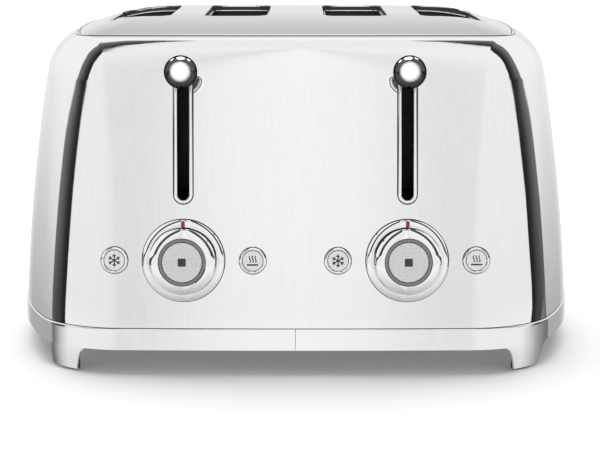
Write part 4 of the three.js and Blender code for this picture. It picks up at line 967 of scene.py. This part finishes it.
for number in range(1, 7):
    low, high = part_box(f"heater_board_{number}")
    gx = (low.x + high.x) / 2 / MM
    first, last = low.y / MM - SHIFT_Y + RIBBON_END, high.y / MM - SHIFT_Y - RIBBON_END
    ribbons = []
    for k in range(RIBBON_TURNS + 1):
        y = first + (last - first) * k / RIBBON_TURNS
        steps = ((0.0, -1), (0.0, 1), (RIBBON_SHEET, 1), (RIBBON_SHEET, -1))
        rings = [[placed(px, y + sign * RIBBON_HALF_W, pz) for px, pz in ribbon_loop(gx, inset)]
                 for inset, sign in steps]
        ribbons.append(lofted(rings))
    finished(f"heating_ribbon_{number}", joined_mesh(ribbons), ribbon, sharp=30)


# Sheet pieces that keep their solid's form, with softened edges
SHEET_EDGE, PLATE_EDGE, RUBBER_EDGE = 0.3, 0.25, 0.5


def softened(node, name, look, width, body="housing"):
    work = bmesh.new()
    work.from_mesh(nodes[node].data)
    bmesh.ops.remove_doubles(work, verts=work.verts, dist=1e-6)
    bmesh.ops.dissolve_limit(work, angle_limit=radians(1.0), verts=work.verts, edges=work.edges)
    mesh = bpy.data.meshes.new("mesh")
    work.to_mesh(mesh)
    work.free()
    bevel = finished(name, mesh, look, [node], body, sharp=30).modifiers.new("soft_edges", "BEVEL")
    bevel.width = width * MM
    bevel.segments = 2
    bevel.limit_method = "ANGLE"
    bevel.angle_limit = radians(40)


for side in SIDES:
    softened(f"crumb_tray_{side}", f"tray_{side}", galvanised, SHEET_EDGE, f"tray_{side}")
softened("base_plate", "floor_plate", galvanised, PLATE_EDGE)
for place in ("front_left", "front_right", "rear_left", "rear_right"):
    softened(f"foot_pad_{place}", f"rubber_foot_{place}", rubber, RUBBER_EDGE)
softened("cord_gland", "gland", dark_plastic, SHEET_EDGE)

# Floor, light and camera
FLOOR_HALF, FLOOR_DROP = 30, 0.0002
floor_corners = [(FLOOR_HALF * sx, FLOOR_HALF * sy, 0) for sx, sy in ((-1, -1), (1, -1), (1, 1), (-1, 1))]
floor = new_object("floor", mesh_of(floor_corners, [(0, 1, 2, 3)]))
floor.location.z = -FLOOR_DROP
floor.data.materials.append(new_material("pale_floor", grey(0.9), 0.6, 0.0))
floor.visible_glossy = False

world = bpy.data.worlds.new("studio")
bpy.context.scene.world = world
world.use_nodes = True
tree = world.node_tree
background = tree.nodes["Background"]


def math_node(kind, a, b=None, c=None, clamp=False):
    node = tree.nodes.new("ShaderNodeMath")
    node.operation = kind
    node.use_clamp = clamp
    for socket, value in zip(node.inputs, (a, b, c)):
        if value is None:
            continue
        if isinstance(value, (int, float)):
            socket.default_value = value
        else:
            tree.links.new(value, socket)
    return node.outputs[0]


def curve_node(value, points):
    """A curve of straight runs between (input, output) points, both within 0 to 1."""
    node = tree.nodes.new("ShaderNodeFloatCurve")
    curve = node.mapping.curves[0]
    while len(curve.points) < len(points):
        curve.points.new(0.5, 0.5)
    for place, (px, py) in zip(curve.points, points):
        place.location = (px, py)
        place.handle_type = "VECTOR"
    node.mapping.update()
    tree.links.new(value, node.inputs["Value"])
    return node.outputs[0]


def around(a, b):
    """Share of a full turn by which one component leads the other, 0.5 where b is largest."""
    return math_node("MULTIPLY_ADD", math_node("ARCTAN2", a, b), 0.5 / pi, 0.5)


def by_turn(points):
    return [(turn / 360 + 0.5, value) for turn, value in points]


def by_share(points):
    return [((share + 1) / 2, value) for share, value in points]


def by_edge(points):
    return [(place, (value + 1) / 2) for place, value in by_turn(points)]


def mixed(share, low, high):
    """One light value passing into another as the share goes from 0 to 1."""
    return math_node("ADD", math_node("MULTIPLY", low, math_node("SUBTRACT", 1.0, share)),
                     math_node("MULTIPLY", high, share))


direction = tree.nodes.new("ShaderNodeTexCoord").outputs["Generated"]
parts = tree.nodes.new("ShaderNodeSeparateXYZ")
tree.links.new(direction, parts.inputs[0])
dir_x, dir_y, dir_z = parts.outputs
share_y = math_node("MULTIPLY_ADD", dir_y, 0.5, 0.5)
share_z = math_node("MULTIPLY_ADD", dir_z, 0.5, 0.5)
roll = around(dir_x, dir_z)
azimuth = around(dir_x, math_node("MULTIPLY", dir_y, -1.0))

# A dark panel on each side of the studio, meeting in a point overhead. An edge point is a roll from
# upright in degrees and how far behind the toaster the edge lies. A program fitted most of these points
# to the dark bands in the photograph, and they were then thinned and rounded
LEFT_NEAR_EDGE = [(-180, 0.45), (-165, 0.45), (-140, 0.3), (-105, -0.15), (-101.5, -0.15), (-98.3, -0.09),
                  (-94, -0.16), (-90.5, -0.24), (-84.5, -0.43), (-80, -0.56), (-77.5, -0.62), (-74.5, -0.66),
                  (-56, -0.64), (-45, -0.605), (-36, -0.55), (-25, -0.47), (-16, -0.345), (-8.6, -0.21),
                  (-7.5, 0.03), (-6.6, 0.22), (-4.6, 0.4)]
RIGHT_NEAR_EDGE = [(4.6, 0.4), (5.6, 0.325), (7.2, 0.1), (9, -0.08), (17, -0.23), (27, -0.33), (40, -0.41),
                   (57, -0.48), (79.6, -0.48), (85, -0.28), (88, -0.16), (91.5, -0.02), (97, 0.1),
                   (98.8, 0.1), (102, -0.2), (106, -0.2), (118, -0.06), (140, 0.1), (165, 0.45), (180, 0.45)]
LEFT_FAR_EDGE = [(-180, 0.45), (-165, 0.45), (-140, 0.6), (-117, 0.48), (-105, 0.33), (-101.5, 0.32),
                 (-99.5, 0.36), (-96, 0.315), (-93.3, 0.255), (-90.7, 0.155), (-88.5, 0.05), (-84.6, -0.19),
                 (-82, -0.32), (-76, -0.35), (-66, -0.365), (-55, -0.345), (-46, -0.315), (-38, -0.255),
                 (-23, -0.1), (-12, 0.085), (-8, 0.21), (-7.6, 0.37), (-6.6, 0.425), (-4.6, 0.4)]
RIGHT_FAR_EDGE = [(4.6, 0.4), (6.8, 0.43), (7.4, 0.375), (14.5, 0.18), (22.5, 0.08), (34, -0.035),
                  (48, -0.12), (60, -0.146), (70, -0.125), (81, -0.06), (85, -0.01), (89.3, 0.3), (92, 0.425),
                  (95.7, 0.55), (99, 0.6), (118, 0.77), (140, 0.9), (165, 0.45), (180, 0.45)]
WALL_SHADES = (0.016, 0.02, 0.03, 0.05, 0.085, 0.12, 0.15, 0.18, 0.22)
LEFT_TRIM_SHADES = (0.9, 0.86, 0.8, 0.7, 0.56, 0.42, 0.3, 0.2, 0.13)
RIGHT_TRIM_SHADES = (0.95, 0.85, 0.74, 0.6, 0.46, 0.36, 0.28, 0.21, 0.15)
PANEL_LEAST, RAMP_FROM, RAMP_WIDE, RAMP_EDGE = 0.0005, 0.25, 0.5, 0.002
TRIM_ROLL = 101.0
near = curve_node(roll, by_edge(LEFT_NEAR_EDGE + RIGHT_NEAR_EDGE))
far = curve_node(roll, by_edge(LEFT_FAR_EDGE + RIGHT_FAR_EDGE))
across = math_node("DIVIDE", math_node("SUBTRACT", share_y, near),
                   math_node("MAXIMUM", math_node("SUBTRACT", far, near), PANEL_LEAST))


def shade_ramp(values):
    """Panel shade from its near edge to its far edge, in equal steps, with full light outside."""
    node = tree.nodes.new("ShaderNodeValToRGB")
    tree.links.new(math_node("MULTIPLY_ADD", across, RAMP_WIDE, RAMP_FROM, clamp=True), node.inputs["Fac"])
    step = (RAMP_WIDE - 2 * RAMP_EDGE) / (len(values) - 1)
    places = [(RAMP_FROM + RAMP_EDGE + step * i, value) for i, value in enumerate(values)]
    places = [(RAMP_FROM - RAMP_EDGE, 1.0)] + places + [(RAMP_FROM + RAMP_WIDE + RAMP_EDGE, 1.0)]
    stops = node.color_ramp.elements
    for i, (position, value) in enumerate(places):
        stop = stops[i] if i < 2 else stops.new(position)
        stop.position, stop.color = position, (*grey(value), 1)
    return node.outputs["Color"]


wall_shade = shade_ramp(WALL_SHADES)
on_right = math_node("GREATER_THAN", dir_x, 0.0)
trim_shade = mixed(on_right, shade_ramp(LEFT_TRIM_SHADES), shade_ramp(RIGHT_TRIM_SHADES))
low_down = math_node("GREATER_THAN", math_node("ABSOLUTE", math_node("SUBTRACT", roll, 0.5)), TRIM_ROLL / 360)
shade = mixed(low_down, wall_shade, trim_shade)

# Soft light in front, at the sides and behind, as a share of full strength
FRONT_TURN = [(-180, 0.9), (-60, 0.93), (-40, 0.92), (-26, 0.92), (-16, 0.87), (-12, 0.835), (-9.6, 0.825),
              (-8.2, 0.81), (-6.9, 0.865), (-4.6, 0.955), (-3, 0.98), (0, 1), (3, 0.975), (4.6, 0.925),
              (6.4, 0.86), (7.5, 0.82), (8.7, 0.84), (12, 0.88), (18, 0.93), (60, 0.93), (180, 0.9)]
FRONT_RISE = [(-1, 0.5), (-0.4, 0.86), (-0.2, 0.95), (-0.15, 0.93), (-0.11, 0.87), (-0.05, 0.88),
              (0.04, 0.895), (0.3, 0.905), (1, 0.93)]
SIDE_RISE = [(-1, 0.2), (-0.3, 0.33), (-0.19, 0.42), (-0.16, 0.5), (-0.13, 0.57), (-0.1, 0.655),
             (-0.07, 0.74), (-0.03, 0.8), (0.03, 0.845), (0.12, 0.87), (0.4, 0.885), (0.8, 0.88), (1, 0.87)]
REAR_RISE = [(-1, 0.4), (-0.05, 0.78), (0.02, 0.76), (0.15, 0.7), (0.3, 0.69), (0.42, 0.66), (0.53, 0.615),
             (0.61, 0.58), (0.72, 0.54), (0.785, 0.52), (0.81, 0.9), (1, 0.92)]
REAR_TURN = [(-180, 0), (-167, 0), (-155, 1), (155, 1), (167, 0), (180, 0)]
front_light = math_node("MULTIPLY", curve_node(azimuth, by_turn(FRONT_TURN)),
                        curve_node(share_z, by_share(FRONT_RISE)))
side_light = curve_node(share_z, by_share(SIDE_RISE))
rear_light = curve_node(share_z, by_share(REAR_RISE))
far_light = mixed(curve_node(azimuth, by_turn(REAR_TURN)), rear_light, side_light)
turned_away = math_node("GREATER_THAN", across, math_node("MULTIPLY_ADD", low_down, 0.5, 0.5))
light = mixed(turned_away, front_light, far_light)
tree.links.new(math_node("MULTIPLY", light, shade), background.inputs["Color"])
background.inputs["Strength"].default_value = 1.1

# A very soft light from above that no polished surface mirrors
sun_data = bpy.data.lights.new("soft_sky", "SUN")
sun_data.energy = 2.3
sun_data.angle = radians(70)
sun = new_object("soft_sky", sun_data)
sun.rotation_euler = (radians(-20), radians(-4), 0)
sun.visible_glossy = False


def knob_lamp(name, turn, rise, size, brightness, spread, distance=2.0):
    """A soft disk that lights the two knobs alone, placed by direction from them."""
    data = bpy.data.lights.new(name, "AREA")
    data.shape = "DISK"
    data.size = size
    data.energy = brightness * pi ** 2 * size ** 2 / 4
    data.spread = radians(spread)
    holder = new_object(name, data)
    turn, rise = radians(turn), radians(rise)
    out = Vector((sin(turn) * cos(rise), -cos(turn) * cos(rise), sin(rise)))
    holder.location = Vector(placed(0, -HALF_D, BALL_Z)) + out * distance
    holder.rotation_euler = out.to_track_quat("Z", "Y").to_euler()
    holder.visible_camera = False
    holder.light_linking.receiver_collection = knob_lit
    holder.light_linking.blocker_collection = knob_shade


knob_lamp("knob_wide", 0, 9, 15.0, 4.5, 180)
knob_lamp("knob_middle", -3, 11, 8.4, 4.5, 180)
knob_lamp("knob_front", -4, 13, 4.4, 5.0, 180)
knob_lamp("knob_top", 186, 62, 1.1, 15.0, 120)
knob_lamp("knob_left", 221, 37, 0.4, 24.0, 120)
knob_lamp("knob_right", 146, 42, 0.4, 24.0, 120)
bpy.context.scene.view_settings.view_transform = "Standard"

CAMERA_PLACE, CAMERA_PITCH, CAMERA_YAW = (5.2, -1311.9, 298.2), 80.0, 0.108
camera_data = bpy.data.cameras.new("camera")
camera_data.sensor_width = 36.0
camera_data.lens = 109.19
camera = new_object("camera", camera_data)
camera.location = Vector(CAMERA_PLACE) * MM
camera.rotation_euler = (radians(CAMERA_PITCH), 0, radians(CAMERA_YAW))
bpy.context.scene.camera = camera
